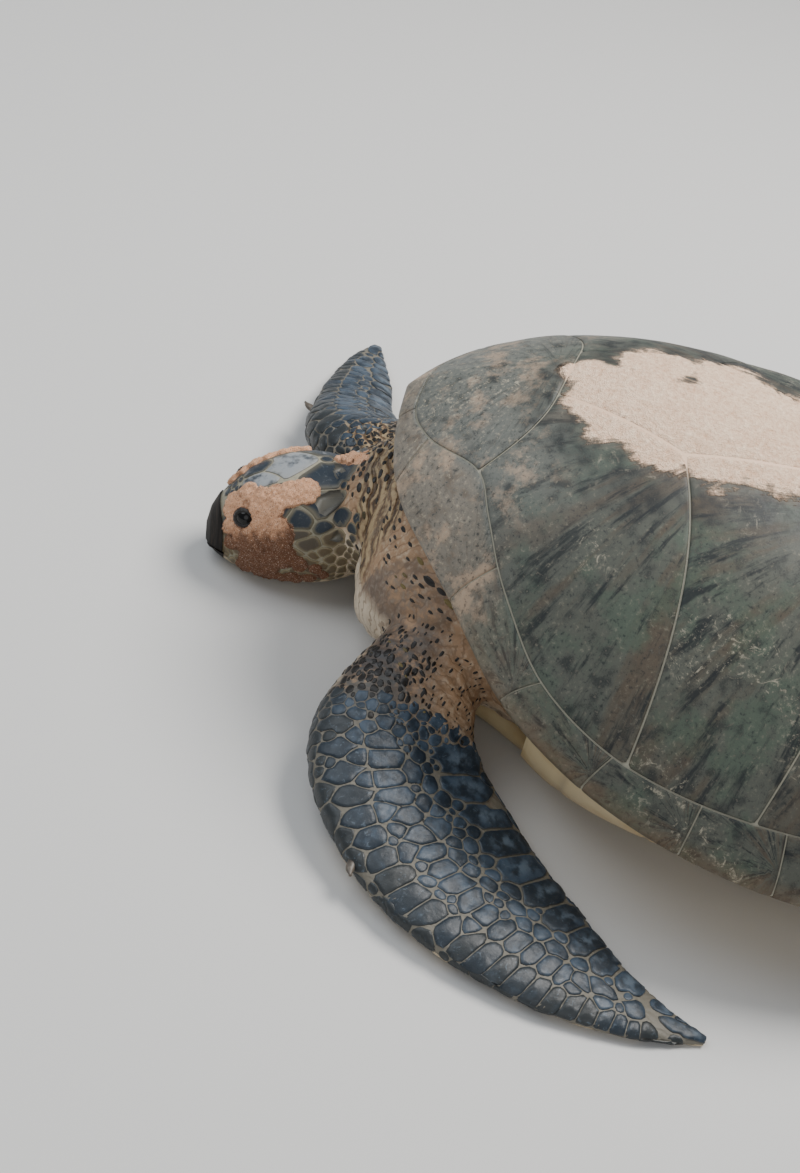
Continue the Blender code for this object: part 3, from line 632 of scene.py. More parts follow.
@dataclass
class Skin:
    """One skin over the head, neck, trunk, limbs and tail."""

    forms: dict
    voxel: float = 0.0046
    relaxing: int = 4
    under_shell: float = 0.006
    fold_depth: float = 0.0042
    wrinkle_depth: float = 0.0022
    wrinkle_length: float = 0.014
    arm_reach: float = 0.11
    points: Array | None = None
    normals: Array | None = None
    crease_shade: Array | None = None
    phase: Array | None = None
    place: Array | None = None
    thing: Thing | None = None
    tree: BVHTree | None = None

    def join(self) -> None:
        """Join the forms and mesh them anew as one closed surface."""
        shape = Shape()
        for form in self.forms.values():
            along, turn = around_grid(np.linspace(0, 1, 40), 32)
            closed_rings(shape, form.surface(along, turn, COAT_DEPTH), flip=True)
        closed_rings(shape, HEAD.surface(*around_grid(np.linspace(0, 1, 48), 40), COAT_DEPTH))
        closed_rings(shape, TrunkForm().grid(30, 40), flip=True)
        raw = shape.build("skin_forms")
        remesh = raw.modifiers.new("one_skin", "REMESH")
        remesh.mode = "VOXEL"
        remesh.voxel_size = self.voxel
        relax = raw.modifiers.new("relax", "SMOOTH")
        relax.factor = 0.5
        relax.iterations = self.relaxing
        graph = bpy.context.evaluated_depsgraph_get()
        mesh = bpy.data.meshes.new_from_object(raw.evaluated_get(graph))
        bpy.data.objects.remove(raw, do_unlink=True)
        mesh.name = "skin"
        self.thing = bpy.data.objects.new("skin", mesh)
        bpy.context.scene.collection.objects.link(self.thing)
        self.points, self.normals = read_mesh(mesh)

    def tuck(self, points: Array) -> Array:
        """Keep points under the shell's underside and above the floor, in the forms' own frame."""
        raw = SHELL.from_floor(points)
        _, share = SHELL.share(raw[:, 0], raw[:, 1])
        ceiling = SHELL.under_height(raw[:, 0], raw[:, 1]) + self.under_shell
        low = (share < 1.0) & (raw[:, 2] > ceiling)
        raw[low, 2] = ceiling[low]
        points = SHELL.to_floor(raw)
        points[:, 2] = np.maximum(points[:, 2], FLOOR_FILM)
        return points

    def wrinkles(self, points: Array) -> Array:
        """How deep each place lies in the wrinkles across the upper arms and thighs, 0 to 1."""
        arms = np.zeros(len(points))
        for name, form in self.forms.items():
            if not name.startswith(("front", "hind")):
                continue
            start, wrist = form.frame((0.0, 1 / 3))[0]
            direction = unit(wrist - start)
            run = (points - start) @ direction
            along = run / np.linalg.norm(wrist - start)
            off = np.linalg.norm(points - start - run[:, None] * direction, axis=1)
            zone = (off < self.arm_reach) * ramp(along, -0.2, 0.2) * (1 - ramp(along, 0.75, 1.05))
            wave = np.abs(np.sin((run + 0.006 * ripple(points, 0.06, 11)) * math.pi / self.wrinkle_length))
            arms = np.maximum(arms, zone * (1 - wave ** 0.8))
        return arms

    def fold(self, points: Array, normals: Array) -> Array:
        """Neck folds and arm wrinkles as moves along the normal; keeps how deep each place lies."""
        station, side, height = HEAD.frame(points)
        behind = HEAD.length * (0.17 - station) + 0.20 * (np.abs(side) - 0.08)
        self.phase = behind + 0.003 * ripple(points, 0.06, 3)
        near = (1 - ramp(np.abs(side), 0.13, 0.19)) * ramp(height, -0.03, 0.0)
        self.place = ramp(behind, -0.004, 0.008) * (1 - ramp(behind, 0.050, 0.075)) * near
        ridge = np.abs(np.sin(self.phase * math.pi / NECK_FOLD))
        arms = self.wrinkles(points) * (1 - self.place)
        # How much painted shade the troughs of the arm wrinkles get.
        self.crease_shade = 0.7 * arms
        body = 1 - ramp(station, 0.05, 0.2) * (np.abs(side) < 0.1)
        move = (-self.fold_depth * self.place * (1 - ridge) - self.wrinkle_depth * arms
                + 0.0006 * body * ripple(points, 0.024, 5))
        return points + normals * move[:, None]

    def finish(self) -> None:
        """Place the skin and make the tree that the scales are laid on."""
        points = self.tuck(self.fold(self.points, self.normals))
        mesh = self.thing.data
        mesh.vertices.foreach_set("co", points.astype(np.float32).ravel())
        mesh.update()
        mesh.shade_smooth()
        self.points, self.normals = read_mesh(mesh)
        faces = [tuple(face.vertices) for face in mesh.polygons]
        self.tree = BVHTree.FromPolygons(self.points.tolist(), faces)
        LOG.info("skin: %d points, %d faces", len(self.points), len(faces))

    def nearest(self, points: Array) -> tuple[Array, Array]:
        """Nearest places on the skin and the smooth normals there."""
        flat = points.reshape(-1, 3)
        found = np.empty_like(flat)
        normals = np.empty_like(flat)
        for row, point in enumerate(flat.tolist()):
            place, normal, _, _ = self.tree.find_nearest(point)
            found[row] = place
            normals[row] = normal
        return found.reshape(points.shape), normals.reshape(points.shape)


# --- sand and markings -------------------------------------------------------------------------

# Dry sand that sticks to the head: station, turn in degrees and reach of each clod, and at the
# nape also how far it rises above the skin.
HEAD_SAND = (
    (0.769, 69, 0.0125), (0.843, 54, 0.0170), (0.441, 63, 0.0176), (0.520, 60, 0.0172),
    (0.610, 55, 0.0175), (0.664, 46, 0.0235), (0.719, 27, 0.0260), (0.605, 18, 0.0235),
    (0.734, 4, 0.0200), (0.560, 0, 0.0200), (0.640, -14, 0.0160), (0.450, -6, 0.0110),
    (0.800, 14, 0.0130), (0.740, -14, 0.0130), (0.350, -10, 0.0080), (0.860, 26, 0.0110),
    (0.850, 4, 0.0100), (0.760, -30, 0.0120), (0.660, -34, 0.0150), (0.560, -36, 0.0130),
    (0.470, -30, 0.0120), (0.380, -26, 0.0090), (0.300, -20, 0.0070),
)
CROWN_SAND = (
    (0.850, 121, 0.0090), (0.800, 124, 0.0110), (0.730, 127, 0.0120), (0.660, 129, 0.0125),
    (0.590, 131, 0.0120), (0.520, 133, 0.0115), (0.450, 134, 0.0090),
)
NAPE_SAND = (
    (0.230, 104, 0.0095, 0.005), (0.190, 98, 0.0120, 0.012), (0.165, 92, 0.0125, 0.020),
    (0.140, 88, 0.0110, 0.029), (0.120, 96, 0.0095, 0.033),
)
# Sand on the shell, in the shell's own plan: place and reach.
SHELL_SAND = (
    (0.004, -0.318, 0.030), (0.025, -0.280, 0.045), (0.045, -0.230, 0.062), (0.040, -0.180, 0.078),
    (0.000, -0.120, 0.085), (-0.010, -0.050, 0.088), (-0.030, 0.030, 0.072), (-0.045, -0.245, 0.050),
    (-0.055, -0.160, 0.060), (-0.020, 0.090, 0.045), (0.052, -0.285, 0.050), (0.082, -0.255, 0.048),
    (0.085, -0.205, 0.062), (0.080, -0.150, 0.062), (0.055, -0.095, 0.072), (0.040, -0.030, 0.070),
)


def head_sand(points: Array, clods: tuple) -> Array:
    """How far points are within the reach of the clods: positive inside, in shares of a clod."""
    table = np.asarray(clods, float)
    rise = table[:, 3] if table.shape[1] > 3 else np.zeros(len(table))
    centres = HEAD.surface(table[:, 0], np.radians(table[:, 1]), -rise)
    away = np.linalg.norm(points[..., None, :] - centres, axis=-1) / table[:, 2]
    return 1 - away.min(axis=-1)


def shell_sand(x: Array, y: Array) -> Array:
    """The same for plan places on the shell."""
    table = np.asarray(SHELL_SAND, float)
    away = np.hypot(x[..., None] - table[:, 0], y[..., None] - table[:, 1]) / table[:, 2]
    return 1 - away.min(axis=-1)


def skin_sand(points: Array) -> Array:
    """Sand on skin and scales of the head and nape."""
    return np.max([head_sand(points, clods) for clods in (HEAD_SAND, CROWN_SAND, NAPE_SAND)], axis=0)


# --- scales ------------------------------------------------------------------------------------

# What is known of a scale, with how many numbers each fact has, and the most scales of one coat.
SEED_WIDTHS = {
    "place": 3, "normal": 3, "axis": 3, "long_half": 1, "short_half": 1, "height": 1, "kind": 1,
    "tone": 1, "reach": 1, "gap": 1, "bake": 2, "bake_axis": 3, "bake_scale": 1,
}
SEED_ROOM = 4000


def seed_rows(facts: dict, amount: int) -> dict:
    """Facts of scales, each as one row per scale."""
    return {name: np.broadcast_to(np.reshape(value, (-1, SEED_WIDTHS[name])), (amount, SEED_WIDTHS[name]))
            for name, value in facts.items()}


class Seeds:
    """Middles, lie and size of scales before they are given their outlines."""

    near: float = 0.09
    depth: float = 0.03

    def __init__(self) -> None:
        self.count = 0
        self.facts = {name: np.zeros((SEED_ROOM, width)) for name, width in SEED_WIDTHS.items()}

    def add(self, slack: float | None, **facts: Values) -> None:
        """Add those of many scales that find room, in their order.

        Args:
            slack: share of a scale's size that has to be free; None adds all.
            facts: place, normal and axis; long_half and short_half, the half sizes; height, how far
                it stands out; kind and tone, its colour family and lightness; reach, how far past
                its own oval it may spread; gap, the bare skin at its border; and bake, bake_axis
                and bake_scale, its place and lie on the unwrap.
        """
        amount = len(facts["place"])
        table = seed_rows(facts, amount)
        for row in range(amount):
            if slack is not None and self.crowded(table["place"][row], table["short_half"][row, 0] * slack):
                continue
            for name, values in table.items():
                self.facts[name][self.count] = values[row]
            self.count += 1

    def crowded(self, place: Array, room: float) -> bool:
        """Whether an oval with that half size at a place would overlap a scale that is already there."""
        away = place - self.facts["place"][:self.count]
        near = np.abs(away).max(axis=1) < self.near if self.count else np.zeros(0, bool)
        if not near.any():
            return False
        away = away[near]
        normal, axis, long_half, short_half = (
            self.facts[name][:self.count][near] for name in ("normal", "axis", "long_half", "short_half"))
        along = (away * axis).sum(axis=1) / (long_half[:, 0] + room)
        across = (away * np.cross(normal, axis)).sum(axis=1) / (short_half[:, 0] + room)
        outward = (away * normal).sum(axis=1) / self.depth
        return bool((along ** 2 + across ** 2 + outward ** 2 < 1).any())

    def table(self) -> dict:
        """All facts as arrays, with the axes made flat to the skin."""
        table = {name: values[:self.count] if values.shape[1] > 1 else values[:self.count, 0]
                 for name, values in self.facts.items()}
        table["normal"] = unit(table["normal"])
        table["axis"] = unit(flatten(table["axis"], table["normal"]))
        return table


def flatten(directions: Array, normals: Array) -> Array:
    """The part of directions that lies across the normals."""
    return directions - (directions * normals).sum(axis=-1)[..., None] * normals


# Neighbours a scale is weighed against, sharpness of the corners between them, scales per batch.
NEIGHBOURS = 44
SHARPNESS = 17.0
CELL_BATCH = 200
# Distances that stand for scales on the other side of a limb, for the scale itself and for none.
OTHER_SIDE = 9.0
ITSELF = 10.0
NO_NEIGHBOUR = 1e3
TOO_FAR = 5.0
PARALLEL = 1e-9


def cell_reach(seeds: dict, directions: int) -> tuple[Array, Array]:
    """How far each scale spreads in each direction before it meets its neighbours.

    A place belongs to the scale whose oval is relatively nearest, so long and round scales
    share their borders. Corners come out rounded.

    Args:
        seeds: dictionary of arrays.
        directions: number of directions around each scale.

    Returns:
        Rays (scales, directions, 3) and reaches (scales, directions).
    """
    count = len(seeds["place"])
    side = np.cross(seeds["normal"], seeds["axis"])
    turn = np.linspace(0, FULL_TURN, directions, endpoint=False)
    cosine, sine = np.cos(turn), np.sin(turn)
    rays = cosine[None, :, None] * seeds["axis"][:, None] + sine[None, :, None] * side[:, None]
    own = 1 / np.sqrt((cosine / seeds["long_half"][:, None]) ** 2
                      + (sine / seeds["short_half"][:, None]) ** 2)
    reach = np.empty((count, directions))
    neighbours = min(NEIGHBOURS, count - 1)
    for start in range(0, count, CELL_BATCH):
        rows = slice(start, min(start + CELL_BATCH, count))
        away = seeds["place"][None] - seeds["place"][rows, None]
        distance = np.linalg.norm(away, axis=2) - seeds["long_half"][None] * 0.9
        facing = seeds["normal"][rows] @ seeds["normal"].T
        distance = np.where(facing < 0.0, OTHER_SIDE, distance)
        distance[np.arange(rows.stop - rows.start), np.arange(rows.start, rows.stop)] = ITSELF
        nearest = np.argpartition(distance, neighbours - 1, axis=1)[:, :neighbours]
        picked = np.take_along_axis(away, nearest[..., None], axis=1)
        skip = np.take_along_axis(distance, nearest, axis=1) > TOO_FAR
        axis_j, side_j = seeds["axis"][nearest], side[nearest]
        long_j, short_j = seeds["long_half"][nearest], seeds["short_half"][nearest]
        ray_a = np.einsum("nkc,ndc->nkd", axis_j, rays[rows]) / long_j[..., None]
        ray_b = np.einsum("nkc,ndc->nkd", side_j, rays[rows]) / short_j[..., None]
        off_a = ((picked * axis_j).sum(axis=2) / long_j)[..., None]
        off_b = ((picked * side_j).sum(axis=2) / short_j)[..., None]
        square = 1 / own[rows][:, None] ** 2 - ray_a ** 2 - ray_b ** 2
        linear = 2 * (ray_a * off_a + ray_b * off_b)
        constant = -(off_a ** 2 + off_b ** 2)
        inside = linear ** 2 - 4 * square * constant
        root = linear + np.sqrt(np.maximum(inside, 0))
        meets = (inside >= 0) & (root > PARALLEL) & ~skip[..., None]
        far = np.where(meets, -2 * constant / np.where(meets, root, 1.0), NO_NEIGHBOUR)
        total = (far ** -SHARPNESS).sum(axis=1) + (own[rows] * seeds["reach"][rows, None]) ** -SHARPNESS
        reach[rows] = total ** (-1 / SHARPNESS)
    return rays, reach


@dataclass(frozen=True)
class PlateGrade:
    """How finely scales up to a size are drawn: rings as shares of the reach, lifts of the height."""

    up_to: float
    directions: int
    rings: tuple
    lifts: tuple


GRADES = (
    PlateGrade(0.0062, 9, (0.55, 0.91, 1.0), (1.0, 0.74, -0.15)),
    PlateGrade(0.0105, 14, (0.50, 0.91, 1.0), (0.98, 0.76, -0.15)),
    PlateGrade(0.0190, 22, (0.35, 0.70, 0.93, 1.0), (1.0, 0.95, 0.74, -0.15)),
    PlateGrade(0.1000, 44, (0.25, 0.50, 0.74, 0.90, 0.97, 1.0), (1.0, 1.0, 0.97, 0.88, 0.60, -0.15)),
)


@dataclass
class ScaleCoat:
    """Scales laid on the skin as raised plates."""

    skin: Skin
    seeds: Seeds
    least_reach: float = 0.45
    evenness: float = 0.8
    above_floor: float = FLOOR_FILM * 0.3

    def build(self, name: str) -> Thing:
        """Give every scale its outline and lay it on the skin."""
        table = self.seeds.table()
        shape = Shape()
        size = table["long_half"]
        below = 0.0
        for grade in GRADES:
            rows = np.flatnonzero((size > below) & (size <= grade.up_to))
            below = grade.up_to
            if len(rows):
                self.lay(shape, table, rows, grade)
        thing = shape.build(name)
        LOG.info("%s: %d scales, %d faces", name, len(size), len(thing.data.polygons))
        return thing

    def lay(self, shape: Shape, table: dict, rows: Array, grade: PlateGrade) -> None:
        """Lay the scales of one grade."""
        rays, reach = cell_reach(table, grade.directions)
        rays, reach = rays[rows], reach[rows]
        gap = table["gap"][rows, None]
        reach = np.maximum(reach - gap, self.least_reach * reach)
        rings = np.array((0.0, *grade.rings))
        lifts = np.array((1.0, *grade.lifts))
        steps = rays[:, None] * (reach[:, None] * rings[None, :, None])[..., None]
        flat = table["place"][rows][:, None, None] + steps
        flat[:, 0] = flat[:, 0, :1]
        on_skin, normals = self.skin.nearest(flat)
        normals = unit(normals + self.evenness * table["normal"][rows][:, None, None])
        height = table["height"][rows][:, None] * lifts[None]
        points = on_skin + normals * height[..., None, None]
        points[..., 2] = np.maximum(points[..., 2], self.above_floor)
        points[:, 0] = points[:, 0, :1]
        bake_axis = unit(flatten(table["bake_axis"][rows], table["normal"][rows]))
        bake_side = np.cross(table["normal"][rows], bake_axis)
        scale = table["bake_scale"][rows, None, None]
        bake = np.stack([(steps * axis[:, None, None]).sum(-1) * scale + table["bake"][rows, None, None, part]
                         for part, axis in enumerate((bake_axis, bake_side))], axis=-1)
        size = 1 + len(grade.rings) * grade.directions
        faces = [tuple(corner + size * row for corner in face) for row in range(len(rows))
                 for face in disc_faces(len(grade.rings), grade.directions)]
        border = np.broadcast_to(rings[None, :, None], points.shape[:3])
        facts = {"bake": bake, "border": border, "sand": skin_sand(points)}
        shape.add(disc_values(points), faces, **{name: disc_values(value) for name, value in facts.items()},
                  **{name: np.repeat(table[name][rows], size) for name in ("kind", "tone")})


TILES = {
    "head": (0.02, 0.52), "front_left": (0.52, 0.52), "front_right": (0.02, 0.02),
    "hind_left": (0.52, 0.28), "hind_right": (0.52, 0.02), "neck": (0.80, 0.02), "tail": (0.80, 0.28),
}


def tile(name: str, across: Values, up: Values) -> Array:
    """Places on the unwrap, from the corner of a form's tile."""
    return np.array(TILES[name]) + np.stack(np.broadcast_arrays(across, up), axis=-1)


def head_tile(station: Array, degrees: Array) -> Array:
    """Places on the unwrap for places on the head."""
    return tile("head", station * 0.36, (degrees + 110) / 400 * 0.46)


@dataclass(frozen=True)
class ScaleRow:
    """A row of like scales along a limb's blade, from its leading (0) to its trailing edge (1)."""

    lateral: float
    start: float
    stop: float
    spacing: float
    across_share: float
    along_half: float
    longest: float
    slant: float
    kind: Kind
    height: float


FRONT_ROWS = (
    ScaleRow(0.80, 0.372, 0.95, 0.0335, 0.39, 0.0165, 0.029, 16.0, Kind.EDGE, 0.0022),
    ScaleRow(0.12, 0.320, 0.90, 0.0175, 0.25, 0.0088, 0.018, 6.0, Kind.BLADE, 0.0011),
    ScaleRow(0.36, 0.340, 0.74, 0.0170, 0.23, 0.0084, 0.017, 6.0, Kind.BLADE, 0.0010),
)
HIND_ROWS = (
    ScaleRow(0.07, 0.34, 0.94, 0.0200, 0.15, 0.0098, 0.010, 0.0, Kind.EDGE, 0.0015),
    ScaleRow(0.90, 0.40, 0.94, 0.0190, 0.16, 0.0093, 0.012, 12.0, Kind.EDGE, 0.0014),
)


@dataclass
class LimbScales:
    """Places the scales of one limb."""

    form: LimbForm
    skin: Skin
    seeds: Seeds
    rows: tuple
    fine: float
    coarse: float
    wrist: float
    seed: int
    unwrap_length: float = 0.44
    belly_below: float = -0.90
    full_width: float = 0.055
    near_form: float = 0.012
    outward: float = 0.1
    upper_share: float = 0.6
    spot_tries: int = 1500

    @property
    def is_front(self) -> bool:
        """Whether the limb is a front one, which has a taller tile and more scales."""
        return "front" in self.form.name

    def put(self, along: Values, lateral: Values, top: Values, long_half: Values, short_half: Values,
            lengthwise: Values, slant: Values, slack: float | None, **facts: Values) -> None:
        """Add scales at shares along the limb and from its leading (0) to its trailing edge (1).

        Args:
            along, lateral: shares of the scales' middles.
            top: whether each lies on the upper side.
            long_half, short_half: half sizes.
            lengthwise: whether each one's long half runs along the limb.
            slant: degrees that the others lean towards the tip.
            slack: as in Seeds.add.
            facts: height, kind, reach, gap and tone.
        """
        lead = 1.0 if self.form.lean < 0 else -1.0
        along, lateral, top, slant = np.broadcast_arrays(along, lateral, top, slant)
        turn = np.arccos(np.clip(lead * (1 - 2 * lateral), -1, 1)) * np.where(top, 1, -1)
        points = self.form.surface(along, turn, COAT_DEPTH)
        centre, ahead, across, _, _ = self.form.frame(along)
        places, normals = self.skin.nearest(points)
        lean = np.radians(slant)[:, None]
        axis = np.where(np.broadcast_to(lengthwise, along.shape)[:, None], ahead,
                        np.cos(lean) * -lead * across + np.sin(lean) * ahead)
        tall = 0.44 if self.is_front else 0.22
        bake = tile(self.form.name, along * self.unwrap_length, (turn / FULL_TURN + 0.25) % 1.0 * tall)
        facts["kind"] = np.where(normals[:, 2] > self.belly_below, facts["kind"], Kind.BELLY.value)
        fits = ((normals * unit(points - centre)).sum(axis=1) > self.outward)
        fits &= np.linalg.norm(places - points, axis=1) < self.near_form
        facts.update(place=places, normal=normals, axis=unit(flatten(axis, normals)), bake=bake,
                     bake_axis=ahead, bake_scale=self.unwrap_length / self.form.length(),
                     long_half=long_half, short_half=short_half)
        self.seeds.add(slack, **{name: value[fits] for name, value in seed_rows(facts, len(along)).items()})

    def place_rows(self, chance: np.random.Generator) -> None:
        """The big scales along both edges, above and below."""
        length = self.form.length()
        for row in self.rows:
            along = [row.start]
            while along[-1] < row.stop:
                share = min(1.0, self.form.frame(along[-1])[4][0, 0] / self.full_width)
                step = row.spacing * (0.50 + 0.50 * share) * chance.uniform(0.94, 1.06)
                along.append(along[-1] + step / length)
            along = np.array(along[:-1])
            half_width = self.form.frame(along)[4][:, 0]
            across = np.clip(half_width * row.across_share, 0.006, row.longest)
            share = np.minimum(1.0, half_width / self.full_width)
            edge = row.kind is Kind.EDGE
            half = row.along_half * (0.50 + 0.50 * share) * chance.uniform(0.93, 1.07, len(along))
            lateral = np.clip(row.lateral + chance.uniform(-0.01, 0.01, len(along)), 0.02, 0.97)
            for top in (True, False):
                self.put(along, lateral, top, np.maximum(across, half), np.minimum(across, half),
                         across < half, row.slant, 0.62, height=row.height * share ** 0.5,
                         kind=row.kind.value, reach=1.35 if edge else 2.0, gap=0.0010 if edge else 0.0003,
                         tone=chance.uniform(0.3, 1, len(along)) * ramp(row.lateral, 0.05, 0.25))

    def size_at(self, along: Array, lateral: Array) -> Array:
        """Half size of the scales in the middle of the blade."""
        middle = np.interp(lateral, (0.0, 0.2, 0.42, 0.60, 0.75, 1.0), (1.0, 0.95, 0.72, 0.34, 0.26, 0.55))
        half = self.fine + (self.coarse - self.fine) * middle
        tip = ramp(along, 0.62, 0.86)
        half = half * (1 - tip) + (self.fine * 0.4 + self.coarse * 0.6) * tip
        start = ramp(along, self.wrist - 0.06, self.wrist + 0.09)
        return half * start + self.fine * 0.72 * (1 - start)

    def fill(self, chance: np.random.Generator, tries: int) -> None:
        """Fill the blade with smaller scales wherever there is room."""
        along = chance.uniform(self.wrist - 0.03, 0.99, tries)
        lateral = 0.5 - 0.5 * np.cos(chance.uniform(0.02, 1, tries) * math.pi)
        top = chance.uniform(0, 1, tries) < self.upper_share
        half = self.size_at(along, lateral) * chance.uniform(0.85, 1.2, tries)
        most, some = tries // 2, tries // 4
        half = half * np.repeat((1.0, 0.72, 0.5), (most, some, tries - most - some))
        self.put(along, lateral, top, half * chance.uniform(1.0, 1.35, tries), half,
                 chance.uniform(0, 1, tries) < 0.4, chance.uniform(-20, 20, tries), 0.72,
                 height=0.0009 * np.minimum(half / 0.008, 1.2), kind=Kind.BLADE.value,
                 reach=2.7, gap=0.0003, tone=chance.uniform(0.3, 1, tries) * ramp(lateral, 0.02, 0.20))

    def spots(self, chance: np.random.Generator) -> None:
        """Sparse oval spots on the bare skin of the upper arm or thigh, denser towards the wrist."""
        tries = self.spot_tries
        along = chance.uniform(0.02, self.wrist, tries)
        lateral = 0.5 - 0.5 * np.cos(chance.uniform(0, 1, tries) * math.pi)
        dense = ramp(along, self.wrist - 0.20, self.wrist - 0.02) * (1 - ramp(lateral, 0.35, 0.75))
        kept = chance.uniform(0, 1, tries) < 0.25 + 0.75 * dense
        along, lateral, dense = along[kept], lateral[kept], dense[kept]
        half = self.fine * (0.25 + 0.36 * dense) * chance.uniform(0.6, 1.35, len(along))
        self.put(along, lateral, chance.uniform(0, 1, len(along)) < 0.8, half * (2.3 - dense), half, True,
                 chance.uniform(-14, 14, len(along)), 0.85, height=0.0004, kind=Kind.SPOT.value,
                 reach=1.0 + 0.5 * dense, gap=0.0004, tone=chance.uniform(0, 0.82, len(along)))

    def place(self) -> None:
        """All scales of the limb."""
        chance = np.random.default_rng(self.seed)
        self.place_rows(chance)
        if self.is_front:
            for top in (True, False):
                self.put(np.array([0.955]), 0.5, top, 0.028, 0.0105, True, 0.0, None, height=0.0016,
                         kind=Kind.EDGE.value, reach=1.1, gap=0.001, tone=0.5)
        self.fill(chance, 7000 if self.is_front else 4000)
        self.spots(chance)


# Head scutes of one side, mirrored on the other: station, degrees from the pattern's middle line,
# half length, half width and slant in degrees.
PAIRED_HEAD_SCUTES = (
    (0.715, 10.0, 0.0190, 0.0100, -8.0), (0.268, 19.0, 0.0310, 0.0200, 8.0),
    (0.650, 38.0, 0.0220, 0.0125, 12.0), (0.283, 54.0, 0.0262, 0.0165, 24.0),
    (0.590, 52.0, 0.0120, 0.0105, 0.0), (0.600, 70.0, 0.0130, 0.0100, 0.0),
    (0.449, 66.0, 0.0146, 0.0104, 8.0), (0.200, 62.0, 0.0165, 0.0140, 40.0),
    (0.457, 80.0, 0.0116, 0.0054, 10.0), (0.316, 74.0, 0.0124, 0.0092, 15.0),
    (0.391, 90.0, 0.0120, 0.0083, 10.0), (0.258, 86.0, 0.0148, 0.0108, 23.0),
    (0.308, 99.0, 0.0090, 0.0056, 11.0), (0.580, 86.0, 0.0125, 0.0090, 0.0),
    (0.500, 98.0, 0.0120, 0.0085, 0.0), (0.830, 66.0, 0.0110, 0.0095, 0.0),
    (0.800, 92.0, 0.0120, 0.0095, -10.0), (0.700, 98.0, 0.0110, 0.0090, -10.0),
    (0.610, 104.0, 0.0110, 0.0080, -10.0), (0.410, 106.0, 0.0110, 0.0075, 0.0),
    (0.830, 28.0, 0.0100, 0.0085, 0.0),
)
MIDDLE_HEAD_SCUTES = ((0.523, 0.0, 0.0246, 0.0190, 0.0), (0.130, 0.0, 0.0110, 0.0120, 0.0))
JAW_SCUTES = (
    (0.790, 128.0, 0.0120, 0.0085, 0.0), (0.690, 128.0, 0.0120, 0.0085, 0.0),
    (0.590, 128.0, 0.0115, 0.0080, 0.0), (0.500, 126.0, 0.0110, 0.0075, 0.0),
    (0.400, 124.0, 0.0100, 0.0070, 0.0),
)


def pattern_middle(station: Array) -> Array:
    """Turn of the scutes' middle line, which drifts as the head rolls a little on the neck."""
    return 90.0 + 26.0 * np.clip(0.74 - station, 0, 0.6)


@dataclass
class HeadScales:
    """Places the named scutes of the head and the small scales around them."""

    skin: Skin
    seeds: Seeds
    gap: float = 0.0004
    rise: float = 0.0010
    tries: int = 2600
    stations: tuple = (0.01, 0.88)
    turns: tuple = (-75, 255)
    scute_stations: tuple = (0.32, 0.80)
    scute_turn: float = 96
    belly_turn: float = 128

    def put(self, station: Values, turn: Values, slant: Values, slack: float | None,
            **facts: Values) -> None:
        """Add scutes by station and turn in degrees."""
        station, turn, slant = (np.atleast_1d(np.asarray(value, float)) for value in (station, turn, slant))
        places, normals = self.skin.nearest(HEAD.surface(station, np.radians(turn), COAT_DEPTH))
        forward = unit(flatten(np.broadcast_to(HEAD.axes()[0], normals.shape), normals))
        lean = np.radians(slant)[:, None]
        self.seeds.add(slack, place=places, normal=normals, bake=head_tile(station, turn), bake_scale=1.1,
                       axis=np.cos(lean) * forward + np.sin(lean) * np.cross(normals, forward),
                       bake_axis=forward, gap=self.gap, **facts)

    def place(self) -> None:
        """All scutes of the head."""
        chance = np.random.default_rng(SEED + 3)
        for side in (1, -1):
            station, off, long_half, short_half, slant = np.array((*PAIRED_HEAD_SCUTES, *JAW_SCUTES)).T
            middle = pattern_middle(station)
            turn = middle - off * side * (1 - (middle - 90) / 90 * side * 0.3)
            tone = np.clip(1 - off / 110 + chance.uniform(-0.1, 0.1, len(off)), 0, 1)
            self.put(station, turn, slant * side, None, long_half=long_half, short_half=short_half,
                     kind=Kind.HEAD.value, height=self.rise, reach=2.3, tone=tone)
        station, off, long_half, short_half, slant = np.array(MIDDLE_HEAD_SCUTES).T
        self.put(station, pattern_middle(station) - off, slant, None, long_half=long_half,
                 short_half=short_half, kind=Kind.HEAD.value, height=self.rise, reach=1.8, tone=1.0)
        station, turn = (chance.uniform(*ends, self.tries) for ends in (self.stations, self.turns))
        first, last = self.scute_stations
        kept = (station < first) | (station > last)
        kept |= np.abs(turn - pattern_middle(station)) > self.scute_turn
        station, turn = station[kept], turn[kept]
        half = np.where(station < 0.4, 1.0, 0.8) * chance.uniform(0.0034, 0.0062, len(turn))
        off = np.abs(turn - 90)
        self.put(station, turn, chance.uniform(50, 130, len(turn)), 0.8, long_half=half * 1.25,
                 short_half=half, kind=np.where(off < self.belly_turn, Kind.HEAD.value, Kind.BELLY.value),
                 height=self.rise * 0.9, reach=2.4, tone=np.clip(0.8 - off / 120, 0, 1))


